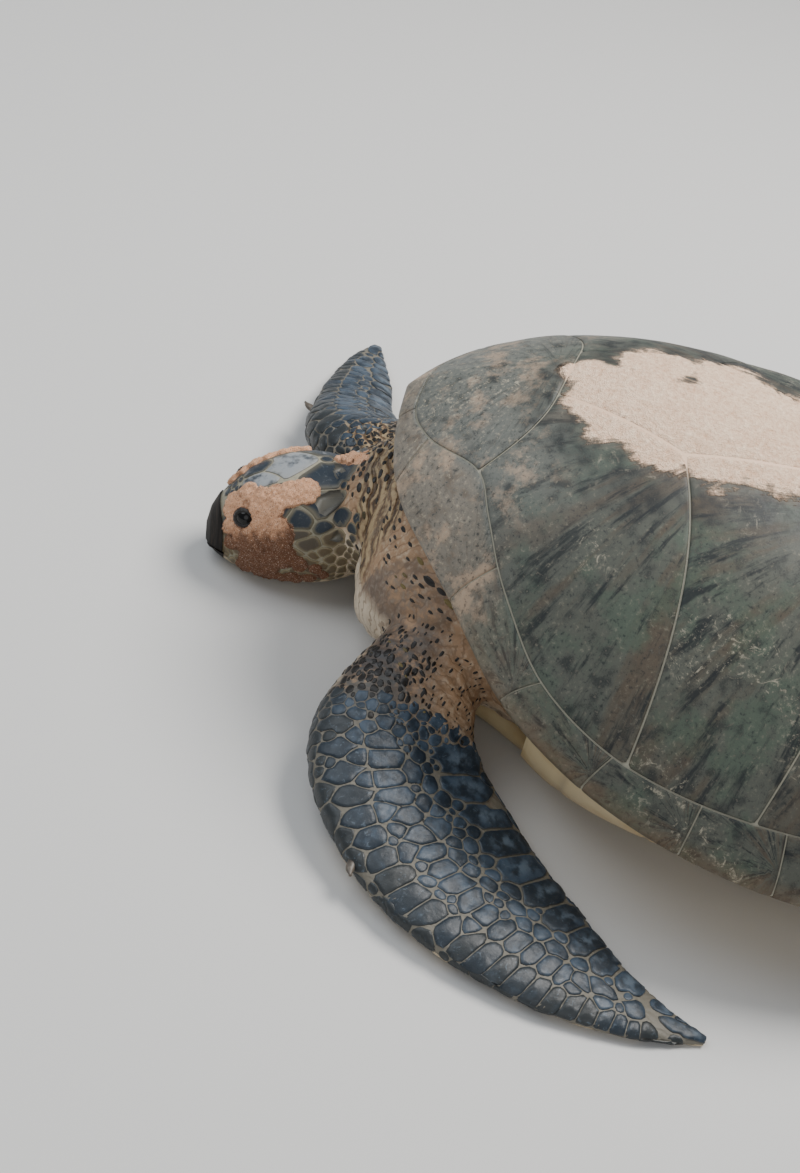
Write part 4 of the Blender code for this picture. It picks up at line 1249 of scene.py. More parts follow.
@dataclass
class TubeScales:
    """Scatters scales around the neck or the tail, off the sand."""

    form: LimbForm
    skin: Skin
    seeds: Seeds
    near_form: float = 0.010
    off_sand: float = -0.1

    def put(self, chance: np.random.Generator, along: Values, turn: Values, half: Array,
            slack: float | None, around: bool, **facts: Values) -> None:
        """Add scales at shares along the form and turns around it."""
        points = self.form.surface(along, turn, COAT_DEPTH)
        places, normals = self.skin.nearest(points)
        fits = np.linalg.norm(places - points, axis=1) < self.near_form
        fits &= skin_sand(places) < self.off_sand
        ahead = self.form.frame(along)[1]
        bake = tile(self.form.name, along * 0.18, (turn / FULL_TURN % 1) * 0.22)
        tone = chance.uniform(0, 1, len(along))
        facts.update(place=places, normal=normals, bake=bake, bake_axis=ahead, short_half=half, tone=tone,
                     axis=np.cross(normals, ahead) if around else ahead)
        self.seeds.add(slack, **{name: value[fits] if np.ndim(value) else value
                                 for name, value in facts.items()})

    def place_neck(self) -> None:
        """Dark ovals on the folds of the neck, sparse below."""
        chance = np.random.default_rng(SEED + 9)
        tries = 1800
        along, turn = chance.uniform(0.35, 0.98, tries), np.radians(chance.uniform(-40, 220, tries))
        kept = chance.uniform(0, 1, tries) < 0.15 + 0.85 * ramp(np.sin(turn), -0.1, 0.9)
        along, turn = along[kept], turn[kept]
        half = chance.uniform(0.0013, 0.0028, len(along)) * (1 + 0.3 * np.maximum(np.sin(turn), 0))
        self.put(chance, along, turn, half, 1.5, True, long_half=half * 2.2, height=0.0007,
                 kind=Kind.SPOT.value, reach=1.0, gap=0.0, bake_scale=0.5)

    def place_tail(self) -> None:
        """Small scales close together."""
        chance = np.random.default_rng(SEED + 12)
        tries = 1600
        along, turn = chance.uniform(0.15, 0.97, tries), chance.uniform(0, FULL_TURN, tries)
        half = chance.uniform(0.0030, 0.0052, tries) * (1 - 0.35 * along)
        self.put(chance, along, turn, half, 0.8, False, long_half=half * 1.2, height=0.0008,
                 kind=np.where(np.sin(turn) > -0.2, Kind.BLADE.value, Kind.BELLY.value),
                 reach=1.6, gap=0.0007, bake_scale=0.6)


@dataclass
class ShoulderSpots:
    """Rows of black and olive ovals on the shoulders, largest next to the shell's rim."""

    skin: Skin
    seeds: Seeds
    rows: int = 9
    last_turn: float = 66.0
    spacing: float = 3.4
    half: float = 0.0029
    near_rim: float = 0.05

    def place(self) -> None:
        """Lay the rows on both sides."""
        chance = np.random.default_rng(SEED + 21)
        for side in (1, -1):
            for row in range(self.rows):
                large = 1.0 if row == 0 else 0.62 - 0.03 * row
                turns = np.arange(16.0 + 2 * row, self.last_turn, self.spacing * (0.5 + 0.5 * large))
                turns = turns + chance.uniform(-0.7, 0.7, len(turns))
                bearing = np.radians(turns) * side
                share = 1.025 + 0.030 * row + chance.uniform(-0.006, 0.006, len(turns))
                plan = SHELL.plan(bearing, share)
                height = SHELL.rim(bearing) - 0.030 - 0.013 * row
                points = SHELL.to_floor(np.concatenate([plan, height[:, None]], axis=-1))
                places, normals = self.skin.nearest(points)
                ahead = unit(np.gradient(plan, axis=0))
                ahead = np.concatenate([ahead, np.zeros((len(ahead), 1))], axis=-1)
                fits = (np.linalg.norm(places - points, axis=1) < self.near_rim) & (normals[:, 2] > -0.2)
                half = self.half * large * chance.uniform(0.55, 1.35, len(turns))
                bake = tile("neck", 0.02 + 0.12 * turns / self.last_turn, 0.10 + 0.01 * row + 0.05 * side)
                rows = {"place": places, "normal": normals, "axis": ahead, "long_half": half * 2.5,
                        "short_half": half, "bake": bake, "bake_axis": ahead}
                self.seeds.add(1.0, **{name: value[fits] for name, value in rows.items()}, height=0.0005,
                               kind=Kind.SPOT.value, tone=chance.uniform(0, 1, fits.sum()), reach=1.0,
                               gap=0.0, bake_scale=0.3)


# --- shell -------------------------------------------------------------------------------------

# Meeting points of the scutes' seams on the left side, in the shell's own plan.
SEAM_POINTS = {
    "nuchal": (0.064, -0.473), "front": (0.111, -0.444), "collar": (0.164, -0.376),
    "first": (0.053, -0.333), "second": (0.108, -0.182), "third": (0.062, -0.055),
    "fourth": (0.108, 0.045), "fifth": (0.060, 0.150), "sixth": (0.094, 0.238),
    "seventh": (0.050, 0.315), "last": (0.102, 0.434), "rear": (0.0, 0.454),
    "side_1": (0.248, -0.312), "side_2": (0.329, -0.220), "side_3": (0.368, -0.122),
    "side_4": (0.371, -0.106), "side_5": (0.376, 0.036), "side_6": (0.329, 0.201),
    "rear_side": (0.189, 0.383),
}
RIM_NAMES = {
    "nuchal", "front", "collar", "side_1", "side_2", "side_3", "side_4", "side_5", "side_6",
    "rear_side", "last", "rear",
}
# Corners of each scute in order around it; a tilde takes the mirrored point.
SCUTES = {
    "vertebral_1": ("nuchal", "front", "collar", "first", "~first", "~collar", "~front", "~nuchal"),
    "vertebral_2": ("first", "second", "third", "~third", "~second", "~first"),
    "vertebral_3": ("third", "fourth", "fifth", "~fifth", "~fourth", "~third"),
    "vertebral_4": ("fifth", "sixth", "seventh", "~seventh", "~sixth", "~fifth"),
    "vertebral_5": ("seventh", "last", "rear", "~last", "~seventh"),
    "costal_1": ("collar", "side_1", "side_2", "side_3", "side_4", "second", "first"),
    "costal_2": ("side_4", "side_5", "fourth", "third", "second"),
    "costal_3": ("side_5", "side_6", "sixth", "fifth", "fourth"),
    "costal_4": ("side_6", "rear_side", "last", "seventh", "sixth"),
}
# Where each scute's growth began, from which its streaks spread.
GROWTH = {
    "vertebral_1": (0.0, -0.345), "vertebral_2": (0.0, -0.075), "vertebral_3": (0.0, 0.130),
    "vertebral_4": (0.0, 0.300), "vertebral_5": (0.0, 0.400), "costal_1": (0.060, -0.120),
    "costal_2": (0.070, 0.060), "costal_3": (0.065, 0.200), "costal_4": (0.050, 0.350),
}
# How far some seams bow sideways, in shares of their length.
SEAM_BOWS = {
    ("collar", "first"): -0.10, ("side_4", "second"): -0.05, ("side_5", "fourth"): -0.05,
    ("side_1", "side_2"): 0.035, ("side_4", "side_5"): 0.05, ("side_5", "side_6"): 0.07,
    ("side_6", "rear_side"): 0.05, ("rear_side", "last"): 0.04, ("collar", "side_1"): 0.03,
}
# Bearings of the seams between the scutes of the rim, at their inner end and at the rim.
RIM_SEAMS = (
    (8.0, 8.0), (17.0, 22.0), (47.0, 44.5), (67.0, 63.0), (83.5, 81.5), (99.0, 98.5),
    (112.0, 112.5), (124.5, 126.0), (136.5, 138.5), (147.5, 149.5), (158.0, 160.0), (169.0, 170.0),
    (180.0, 180.0),
)
RIM_INNER = (
    (0.0, 0.960), (9.0, 0.967), (17.0, 0.934), (29.0, 0.851), (38.0, 0.874), (47.0, 0.907),
    (57.0, 0.930), (67.0, 0.950), (83.5, 0.957), (96.0, 0.950), (125.0, 0.925), (160.0, 0.905),
    (180.0, 0.905),
)
SEAM_HALF = 0.0010
SEAM_STEP = 0.0045


def seam_point(name: str) -> Array:
    """Plan place of a meeting point."""
    x, y = SEAM_POINTS[name.strip("~")]
    return np.array([-x if name.startswith("~") else x, y])


def inner_rim(bearing: Values) -> Array:
    """Plan places of the line between the rim's scutes and the others."""
    table = np.asarray(RIM_INNER)
    share = smooth(table[:, 0], table[:, 1], np.degrees(np.abs(bearing)))
    return SHELL.plan(bearing, share)


def seam_room(places: Array, inward: Array) -> Array:
    """How far scutes stay from a seam's line in plan, less where the shell is steep."""
    step = 0.001
    ahead = SHELL.dome(*(places + inward * step).T) - SHELL.dome(*places.T)
    return (SEAM_HALF * step / np.linalg.norm(ahead, axis=-1))[:, None]


def half_turned(turn: Array) -> Array:
    """The same turn between minus and plus half a turn."""
    return (turn + math.pi) % FULL_TURN - math.pi


def seam_line(start: str, end: str) -> Array:
    """Points from one meeting point towards the next, without the last."""
    first, last = seam_point(start), seam_point(end)
    names = (start.strip("~"), end.strip("~"))
    steps = max(int(np.linalg.norm(last - first) / SEAM_STEP), 3)
    share = np.linspace(0, 1, steps, endpoint=False)[:, None]
    line = first + (last - first) * share
    if set(names) <= RIM_NAMES:
        begin, finish = (SHELL.share(*point)[0] for point in (first, last))
        return inner_rim(half_turned(begin + half_turned(finish - begin) * share[:, 0]))
    bow = SEAM_BOWS.get(names, -SEAM_BOWS.get(names[::-1], 0.0))
    if start.startswith("~") or end.startswith("~"):
        bow = -bow
    across = np.array([-(last - first)[1], (last - first)[0]])
    return line + bow * 4 * share * (1 - share) * across


@dataclass
class Carapace:
    """The carapace as a pale base with horn scutes that leave thin seams."""

    thickness: float = 0.0012
    sunk: float = 0.0010
    sand_rise: float = 0.0015
    arch: float = 0.0014
    unevenness: float = 0.0005
    foot: float = -1.6
    rim_width: float = 0.40
    grain_turn: float = 3.2

    def base(self) -> Thing:
        """The seam-coloured body of the shell below the scutes, closed underneath."""
        run = np.concatenate([np.linspace(0.02, 1, 56), np.linspace(1.1, 2, 10), np.linspace(2.05, 3, 16)])
        run, bearing = around_grid(run, 220)
        bearing = bearing - math.pi
        raw = SHELL.from_floor(SHELL.profile(bearing, run, 0.0))
        sand = shell_sand(raw[..., 0], raw[..., 1])
        rings = SHELL.profile(bearing, run, self.sand_rise * ramp(sand, 0.12, 0.30) - self.sunk)
        shape = Shape()
        closed_rings(shape, rings, sand=sand, below=ramp(run, 1.3, 2.0))
        return shape.build("carapace_base")

    def grain(self, away: Array, stretch: float, offset: float) -> Array:
        """Where places lie in the streaks that spread from a scute's growth centre."""
        turn = np.arctan2(away[..., 1], away[..., 0])
        return np.stack([np.cos(turn) * self.grain_turn, np.sin(turn) * self.grain_turn,
                         np.linalg.norm(away, axis=-1) * stretch + offset], axis=-1)

    def scute(self, shape: Shape, outline: Array, growth: Array, number: int) -> None:
        """Add one domed scute over an outline in plan."""
        outline = (np.roll(outline, 1, 0) + 2 * outline + np.roll(outline, -1, 0)) / 4
        after = np.roll(outline, -1, 0)
        ahead = unit(after - np.roll(outline, 1, 0))
        inward = np.stack([-ahead[:, 1], ahead[:, 0]], axis=-1)
        if (outline[:, 0] * after[:, 1] - after[:, 0] * outline[:, 1]).sum() < 0:
            outline, inward = outline[::-1], -inward[::-1]
        outline = outline + inward * seam_room(outline, inward)
        centre = outline.mean(axis=0)
        share = np.array([*np.arange(8) / 10, .78, .85, .90, .94, .965, .982, .993, 1.0, 1.0])
        lift = np.array([*[1.0] * 11, 0.98, 0.92, 0.75, 0.5, 0.1, self.foot]) * self.thickness
        plan = centre + (outline - centre)[None] * share[:, None, None]
        level = np.concatenate([plan, plan[..., :1] * 0], axis=-1)
        uneven = self.unevenness * ripple(level, 0.10, 20 + number, 2)
        lift = (lift + self.arch * (1 - share ** 2.5))[:, None] + uneven * (share < 0.97)[:, None]
        points = SHELL.dome(plan[..., 0], plan[..., 1], lift)
        points[0] = points[0].mean(axis=0)
        facts = {"bake": plan * 0.46 + (0.25, 0.27), "sand": shell_sand(plan[..., 0], plan[..., 1]),
                 "grain": self.grain(plan - growth, 3.0, number * 1.7)}
        shape.add(disc_values(points[None]), disc_faces(len(share) - 1, len(outline)), rim=0.0, under=0.0,
                  **{name: disc_values(value[None]) for name, value in facts.items()})

    def rim_scute(self, shape: Shape, side: int, first: tuple, last: tuple, number: int) -> None:
        """Add one scute of the rim, which wraps round it to the underside."""
        (inner_0, outer_0), (inner_1, outer_1) = np.radians(first), np.radians(last)
        gap = SEAM_HALF / max(self.rim_width * (outer_1 - outer_0), 0.02)
        along = np.array([0, 0, .012, .03, *np.linspace(.07, .93, 14), .97, .988, 1, 1])
        along = gap + along * (1 - 2 * gap)
        rise = np.array([self.foot, .1, .6, .9, *[1.0] * 14, .9, .6, .1, self.foot])
        run = np.array([0, 0, .02, .05, .1, .2, .35, .5, .65, .8, .9, 1.0, 1.15, 1.3, 1.45, 1.6, 1.8, 2.0,
                        2.06, 2.12, 2.16, 2.16])[:, None]
        across = np.array([self.foot, .1, .6, .9, *[1.0] * 15, .7, .1, self.foot])[:, None]
        inner = inner_rim((inner_0 + (inner_1 - inner_0) * along) * side)
        outer_bearing = (outer_0 + (outer_1 - outer_0) * along) * side
        rim_place = SHELL.plan(outer_bearing, np.ones(len(along)))
        outward = unit(rim_place - inner)
        inner = inner + outward * seam_room(inner, outward) * 0.8
        plan = inner[None] + (rim_place - inner)[None] * np.clip(run, 0, 1)[..., None]
        bearing, reach = SHELL.share(plan[..., 0], plan[..., 1])
        bearing = np.where(run >= 1, outer_bearing, bearing)
        reach = np.where(run >= 1, run, np.minimum(reach, 1.0))
        points = SHELL.profile(bearing, reach, np.minimum(rise[None], across) * self.thickness)
        rows, columns = points.shape[:2]
        numbers = np.arange(rows * columns).reshape(rows, columns)
        border = [*numbers[0], *numbers[1:, -1], *numbers[-1, -2::-1], *numbers[-2:0:-1, 0]]
        faces = [*quads(rows, columns), tuple(border[::-1])]
        if side < 0:
            faces = [tuple(face)[::-1] for face in faces]
        growth = inner[-3] * 0.3 + rim_place[-3] * 0.7
        bake = np.stack(np.broadcast_arrays(0.55 + 0.4 * (outer_bearing / math.pi * 0.5 + 0.5),
                                            0.1 + 0.12 * run), axis=-1)
        shape.add(points, faces, bake=bake, grain=self.grain(plan - growth, 5, number),
                  sand=shell_sand(plan[..., 0], plan[..., 1]),
                  rim=np.broadcast_to(np.clip(run, 0, 1), bearing.shape),
                  under=np.broadcast_to(ramp(run, 1.1, 1.9), bearing.shape))

    def scutes(self) -> Thing:
        """All scutes of the carapace: vertebrals and costals, the rim's pairs and the nuchal."""
        shape = Shape()
        for number, (name, corners) in enumerate(SCUTES.items()):
            outline = np.vstack([seam_line(start, end)
                                 for start, end in zip(corners, corners[1:] + corners[:1])])
            for side in (1, -1) if name.startswith("costal") else (1,):
                self.scute(shape, outline * (side, 1), np.array(GROWTH[name]) * (side, 1),
                           number + (10 if side < 0 else 0))
        for number, (first, last) in enumerate(zip(RIM_SEAMS[:-1], RIM_SEAMS[1:])):
            for side in (1, -1):
                self.rim_scute(shape, side, first, last, number + 20)
        self.rim_scute(shape, 1, (-RIM_SEAMS[0][0], -RIM_SEAMS[0][1]), RIM_SEAMS[0], 40)
        return shape.build("carapace_scutes")


# Seams of the plastron's paired scutes, front to back, in shares of its length.
PLASTRON_SEAMS = (0.0, 0.13, 0.30, 0.50, 0.68, 0.84, 1.0)


@dataclass
class Underside:
    """Plastron and bridges with their scutes."""

    outline: tuple = (
        (0.0, -0.375), (0.080, -0.360), (0.140, -0.315), (0.165, -0.245), (0.205, -0.150),
        (0.222, -0.030), (0.208, 0.090), (0.160, 0.190), (0.135, 0.270), (0.085, 0.340),
        (0.0, 0.365),
    )
    centre_y: float = -0.02
    edge_height: float = 0.034
    thickness: float = 0.030
    flat: float = 0.80
    groove: float = 0.0012
    groove_half: float = 0.0028
    bridge_places: tuple = (-0.185, 0.200)
    bridge_inset: float = 0.050
    bridge_foot: tuple = (0.185, 0.026)
    bridge_head: tuple = (0.345, 0.150)
    bridge_half: float = 0.015
    bridge_bulge: tuple = (0.018, -0.012)
    bridge_seams: int = 4

    def plastron(self) -> Thing:
        """The dish of the plastron, with seams as shallow grooves."""
        bearing = np.linspace(-math.pi, math.pi, 150, endpoint=False)
        reach = edge_reach(self.outline, self.centre_y, bearing)
        flat, rounding = np.linspace(0.02, self.flat, 44), np.radians(np.linspace(6, 90, 12))
        share = np.concatenate([flat, self.flat + (1 - self.flat) * np.sin(rounding),
                                (0.985, 0.95, 0.80, 0.40, 0.05)])[:, None]
        height = np.concatenate([0 * flat, self.edge_height * (1 - np.cos(rounding)),
                                 (self.edge_height + 0.010, self.edge_height + 0.011),
                                 np.full(3, self.thickness)])[:, None]
        x = reach * share * np.sin(bearing)
        y = self.centre_y - reach * share * np.cos(bearing)
        front, back = self.outline[0][1], self.outline[-1][1]
        length = (y - front) / (back - front) + 0.10 * np.abs(x) / 0.22 * np.sin(3 * (y - front))
        across = np.min([np.abs(length - seam) for seam in PLASTRON_SEAMS], axis=0) * 0.74
        off = np.minimum(np.abs(x) / 0.7, across)
        lower = np.arange(len(share))[:, None] < len(flat) + len(rounding)
        groove = np.where(lower, self.groove * np.exp(-(off / self.groove_half) ** 2), 0)
        points = np.stack([x, y, height + groove], axis=-1) + GROUND_SHIFT
        shape = Shape()
        closed_rings(shape, points, flip=True, seam=np.where(lower, np.exp(-(off / 0.003) ** 2), 0))
        return shape.build("plastron_scutes")

    def bridge(self, side: int) -> Thing:
        """The wall between plastron and rim, with seams across it."""
        rings, seams = [], []
        for share in np.linspace(0, 1, 70):
            off_middle = abs(2 * share - 1)
            inset = self.bridge_inset * off_middle ** 3
            foot = np.array(self.bridge_foot) - (inset * 0.5, 0)
            head = np.array(self.bridge_head) - (inset, 0)
            middle = (foot + head) / 2 + self.bridge_bulge
            line = smooth((0, 0.5, 1), (foot, middle, head), np.linspace(0, 1, 26))
            normal = unit(np.gradient(line, axis=0)[:, ::-1] * (1, -1))
            off = share * self.bridge_seams % 1 - 0.5
            half = self.bridge_half * (1 - 0.35 * off_middle ** 6)
            outer = line + normal * (half - self.groove * np.exp(-(off / 0.035) ** 2))
            loop = np.vstack([outer, (line - normal * half)[::-1]])
            place = self.bridge_places[0] + (self.bridge_places[1] - self.bridge_places[0]) * share
            rings.append(np.column_stack([loop[:, 0] * side, np.full(len(loop), place), loop[:, 1]]))
            seams.append(np.full(len(loop), math.exp(-(off / 0.03) ** 2)))
        shape = Shape()
        closed_rings(shape, np.array(rings) + GROUND_SHIFT, flip=side < 0, seam=np.array(seams))
        return shape.build("bridge_left_wall" if side > 0 else "bridge_right_wall")


# --- beak, eyes and claws ----------------------------------------------------------------------

@dataclass
class Beak:
    """The horn sheaths of both jaws."""

    mouth: float = 0.036
    top: float = 0.088
    bottom: float = -0.02
    slit: float = 0.0008
    hook: float = 0.0045
    brow: float = 0.030

    def sheath(self, name: str, low: float, high: float, start: float, tip: float,
               swell: float) -> Thing:
        """A sheath over the snout.

        Args:
            name: the piece's name.
            low, high: heights in the head's own frame, between which it lies.
            start, tip: stations of its ends.
            swell: how far it stands off the head's form.
        """
        share = np.concatenate([np.linspace(0, 0.72, 30), np.linspace(0.75, 1.0, 14)])
        share, turn = around_grid(share, 96)
        back = start + self.brow * np.maximum(np.sin(turn), 0) ** 2
        station = back + (tip - back) * share
        _, side, height = HEAD.frame(HEAD.surface(station, turn, -swell))
        hook = self.hook * ramp(station, 0.93, 1.0)
        bottom, top = low - hook, high - hook
        height = np.clip(height, bottom, top)
        points = HEAD.point(station, 0 * side, height) + side[..., None] * HEAD.axes()[1]
        rise = np.clip((height - bottom) / np.maximum(top - bottom, 1e-4), 0, 1)
        shape = Shape()
        closed_rings(shape, points, rise=rise, along=station)
        return shape.build(name)

    def upper(self) -> Thing:
        """The upper sheath, which overhangs the lower one."""
        return self.sheath("upper_beak_sheath", self.mouth, self.top, 0.898, 1.0, 0.0013)

    def lower(self) -> Thing:
        """The lower sheath."""
        return self.sheath("lower_beak_sheath", self.bottom, self.mouth - self.slit, 0.888, 0.990, 0.0003)


@dataclass
class SandCrust:
    """Clods of sand that stick to the head, as a grained sheet that dips into the skin around them."""

    name: str
    clods: tuple
    stations: tuple
    turns: tuple
    rise: float
    step: float = 0.0014
    girth: float = 0.070
    dip: float = 0.005
    back: float = 0.0095

    def build(self, skin: Skin) -> Thing:
        """Make the sheet and its hidden back over the skin."""
        rows = int((self.stations[1] - self.stations[0]) * HEAD.length / self.step)
        columns = int((self.turns[1] - self.turns[0]) * self.girth / self.step)
        station, turn = np.broadcast_arrays(np.linspace(*self.stations, rows)[:, None],
                                            np.linspace(*self.turns, columns)[None])
        base, out = skin.nearest(HEAD.surface(station, turn, COAT_DEPTH))
        flat = base.reshape(-1, 3)
        mask = head_sand(base, self.clods) + 0.10 * ripple(flat, 0.014, 41).reshape(station.shape)
        for side in (1, -1):
            centre, outward, _, _ = Eye(side).directions()
            away = np.linalg.norm(base - centre - outward * Eye.radius, axis=-1)
            mask = np.minimum(mask, (away - 0.0100) / 0.008)
        thick = ramp(mask, 0.0, 0.3)
        lift = (COAT_DEPTH + self.rise + self.dip) * ramp(mask, -0.12, 0.12) - self.dip
        lift += 0.0006 * ripple(flat, 0.0042, 43, 2).reshape(station.shape) * thick
        lift += 0.0011 * ripple(flat, 0.012, 47).reshape(station.shape) * thick
        points = np.concatenate([base + out * lift[..., None], (base - out * self.back)[:, ::-1]], axis=1)
        # Painted shade: the crust is darker towards the lower side of the head and at its thin edges.
        damp = ramp(-turn, -0.75, 0.05) + 0.4 * ramp(-mask, -0.4, 0.0)
        damp = np.concatenate([damp, damp[:, ::-1]], axis=1)
        bake = head_tile(station, np.degrees(turn))
        count = 2 * columns
        faces = list(quads(rows, count, wrap=True))
        faces += [tuple(range(count))[::-1], tuple(range((rows - 1) * count, rows * count))]
        shape = Shape()
        shape.add(points, faces, bake=np.concatenate([bake, bake[:, ::-1]], axis=1), damp=damp)
        return shape.build(self.name)


@dataclass
class Eye:
    """An eyeball and the lids around it."""

    side: int
    radius: float = 0.0125
    station: float = 0.770
    off: float = 0.0370
    height: float = 0.0900
    opening: tuple = (0.0092, 0.0074)
    squareness: float = 1.8
    wall: float = 0.0012

    def directions(self) -> tuple:
        """Middle, outward, forward and up directions of the eye."""
        centre = HEAD.point(self.station, self.off * self.side, self.height)
        ahead, left, upward = HEAD.axes()
        outward = unit(left * self.side * 0.88 + upward * 0.40 + ahead * 0.26)
        forward = unit(ahead - (ahead @ outward) * outward)
        up = np.cross(outward, forward)
        return centre, outward, forward, up if up @ upward > 0 else -up

    def rays(self, polar: Array, turn: Values) -> Array:
        """Directions from the middle by angle off the outward one and turn around it."""
        _, outward, forward, up = self.directions()
        spin = np.cos(turn)[..., None] * forward + np.sin(turn)[..., None] * up
        return np.cos(polar)[..., None] * outward + np.sin(polar)[..., None] * spin

    def handed(self) -> bool:
        """Whether turns run so that faces have to be turned over."""
        _, outward, forward, up = self.directions()
        return bool(np.cross(forward, up) @ outward > 0)

    def ball(self, name: str) -> Thing:
        """The eyeball, with facts for its iris."""
        polar, turn = around_grid(np.linspace(0.02, math.pi - 0.02, 40), 56)
        shape = Shape()
        closed_rings(shape, self.directions()[0] + self.radius * self.rays(polar, turn), flip=self.handed(),
                     polar=polar)
        return shape.build(name)

    def lids(self, shape: Shape) -> None:
        """A ring of skin around the opening, thick at its edge, with small folds."""
        steps = np.array([-0.02, 0.0, 0.05, 0.12, 0.20, 0.28, 0.36, 0.46, 0.58, 0.72, 0.90])
        radii = np.array([-6, 6, 15, 19, 17, 13, 16, 19, 14, 2, -30]) * 0.0001
        steps, turn = around_grid(steps, 72)
        wide, tall = self.opening
        opening = 1 / (np.abs(np.cos(turn) / wide) ** self.squareness
                       + np.abs(np.sin(turn) / tall) ** self.squareness) ** (1 / self.squareness)
        polar = np.arcsin(np.clip(opening / (self.radius + 0.0006), 0, 0.95)) + steps
        radius = self.radius + radii[:, None] + 0.00025 * np.sin(turn * 17) * (steps > 0.08)
        rays = self.rays(polar, turn)
        centre = self.directions()[0]
        points = np.concatenate([centre + radius[..., None] * rays,
                                 centre + (self.radius - self.wall) * rays[::-1]])
        rows, columns = points.shape[:2]
        last = (rows - 1) * columns
        faces = list(quads(rows, columns, wrap=True))
        faces += [(last + step, last + (step + 1) % columns, (step + 1) % columns, step)
                  for step in range(columns)]
        if self.handed():
            faces = [tuple(face)[::-1] for face in faces]
        inner = 1 - ramp(np.arange(rows) / rows, 0.12, 0.34)
        size = 0.008 * (1 + np.arange(rows)[:, None] * 0.05)
        bake = np.stack([0.55 + self.side * 0.02 + np.cos(turn[0]) * size, 0.48 + np.sin(turn[0]) * size], -1)
        shape.add(points, faces, bake=bake, border=0.2, sand=skin_sand(points) - 0.9 * inner[:, None],
                  kind=Kind.SPOT.value, tone=0.0)


@dataclass
class Claw:
    """A small curved horn at a limb's leading edge."""

    form: LimbForm
    share: float
    length: float = 0.024
    bed: float = 0.008
    radius: float = 0.0050
    girths: tuple = (1.15, 0.897, 0.184)

    def build(self, name: str) -> Thing:
        """Make the claw along a line that bends forward."""
        front = -math.copysign(1, self.form.lean)
        centre, _, _, _, sizes = self.form.frame(self.share)
        beyond = self.form.frame(self.share + 0.01)[0]
        ahead = unit((beyond - centre)[0] * (1, 1, 0))
        outward = np.cross(ahead, (0, 0, front))
        root = centre[0] + outward * (sizes[0, 0] - self.bed)
        tip = root + (outward + ahead) * (self.length * 0.62)
        middle = (root + tip) / 2 + outward * (self.length * 0.1)
        line = np.array([root, middle, tip]) - GROUND_SHIFT
        girths = self.radius * np.outer(self.girths, (1.0, 0.75, 0.75))
        horn = LimbForm(name, tuple(map(tuple, line)), tuple(map(tuple, girths)))
        along, turn = around_grid(np.linspace(0, 1, 18), 20)
        shape = Shape()
        closed_rings(shape, horn.surface(along, turn, 0.0), flip=True)
        return shape.build(name + "_horn")


# --- finishes ----------------------------------------------------------------------------------

def arithmetic(operation: str, swapped: bool = False) -> Callable:
    """A method that adds the Math node of an operation, with its values swapped when reflected."""
    def join(self: "Wire", other: "Wire | float") -> "Wire":
        """The wire after the step."""
        return self.graph.math(operation, *((other, self) if swapped else (self, other)))
    return join


@dataclass(frozen=True)
class Wire:
    """A value or colour on its way through a material, with arithmetic."""

    graph: "Graph"
    socket: bpy.types.NodeSocket

    __add__ = arithmetic("ADD")
    __radd__ = arithmetic("ADD", True)
    __sub__ = arithmetic("SUBTRACT")
    __rsub__ = arithmetic("SUBTRACT", True)
    __mul__ = arithmetic("MULTIPLY")
    __rmul__ = arithmetic("MULTIPLY", True)


Signal = Wire | float | tuple


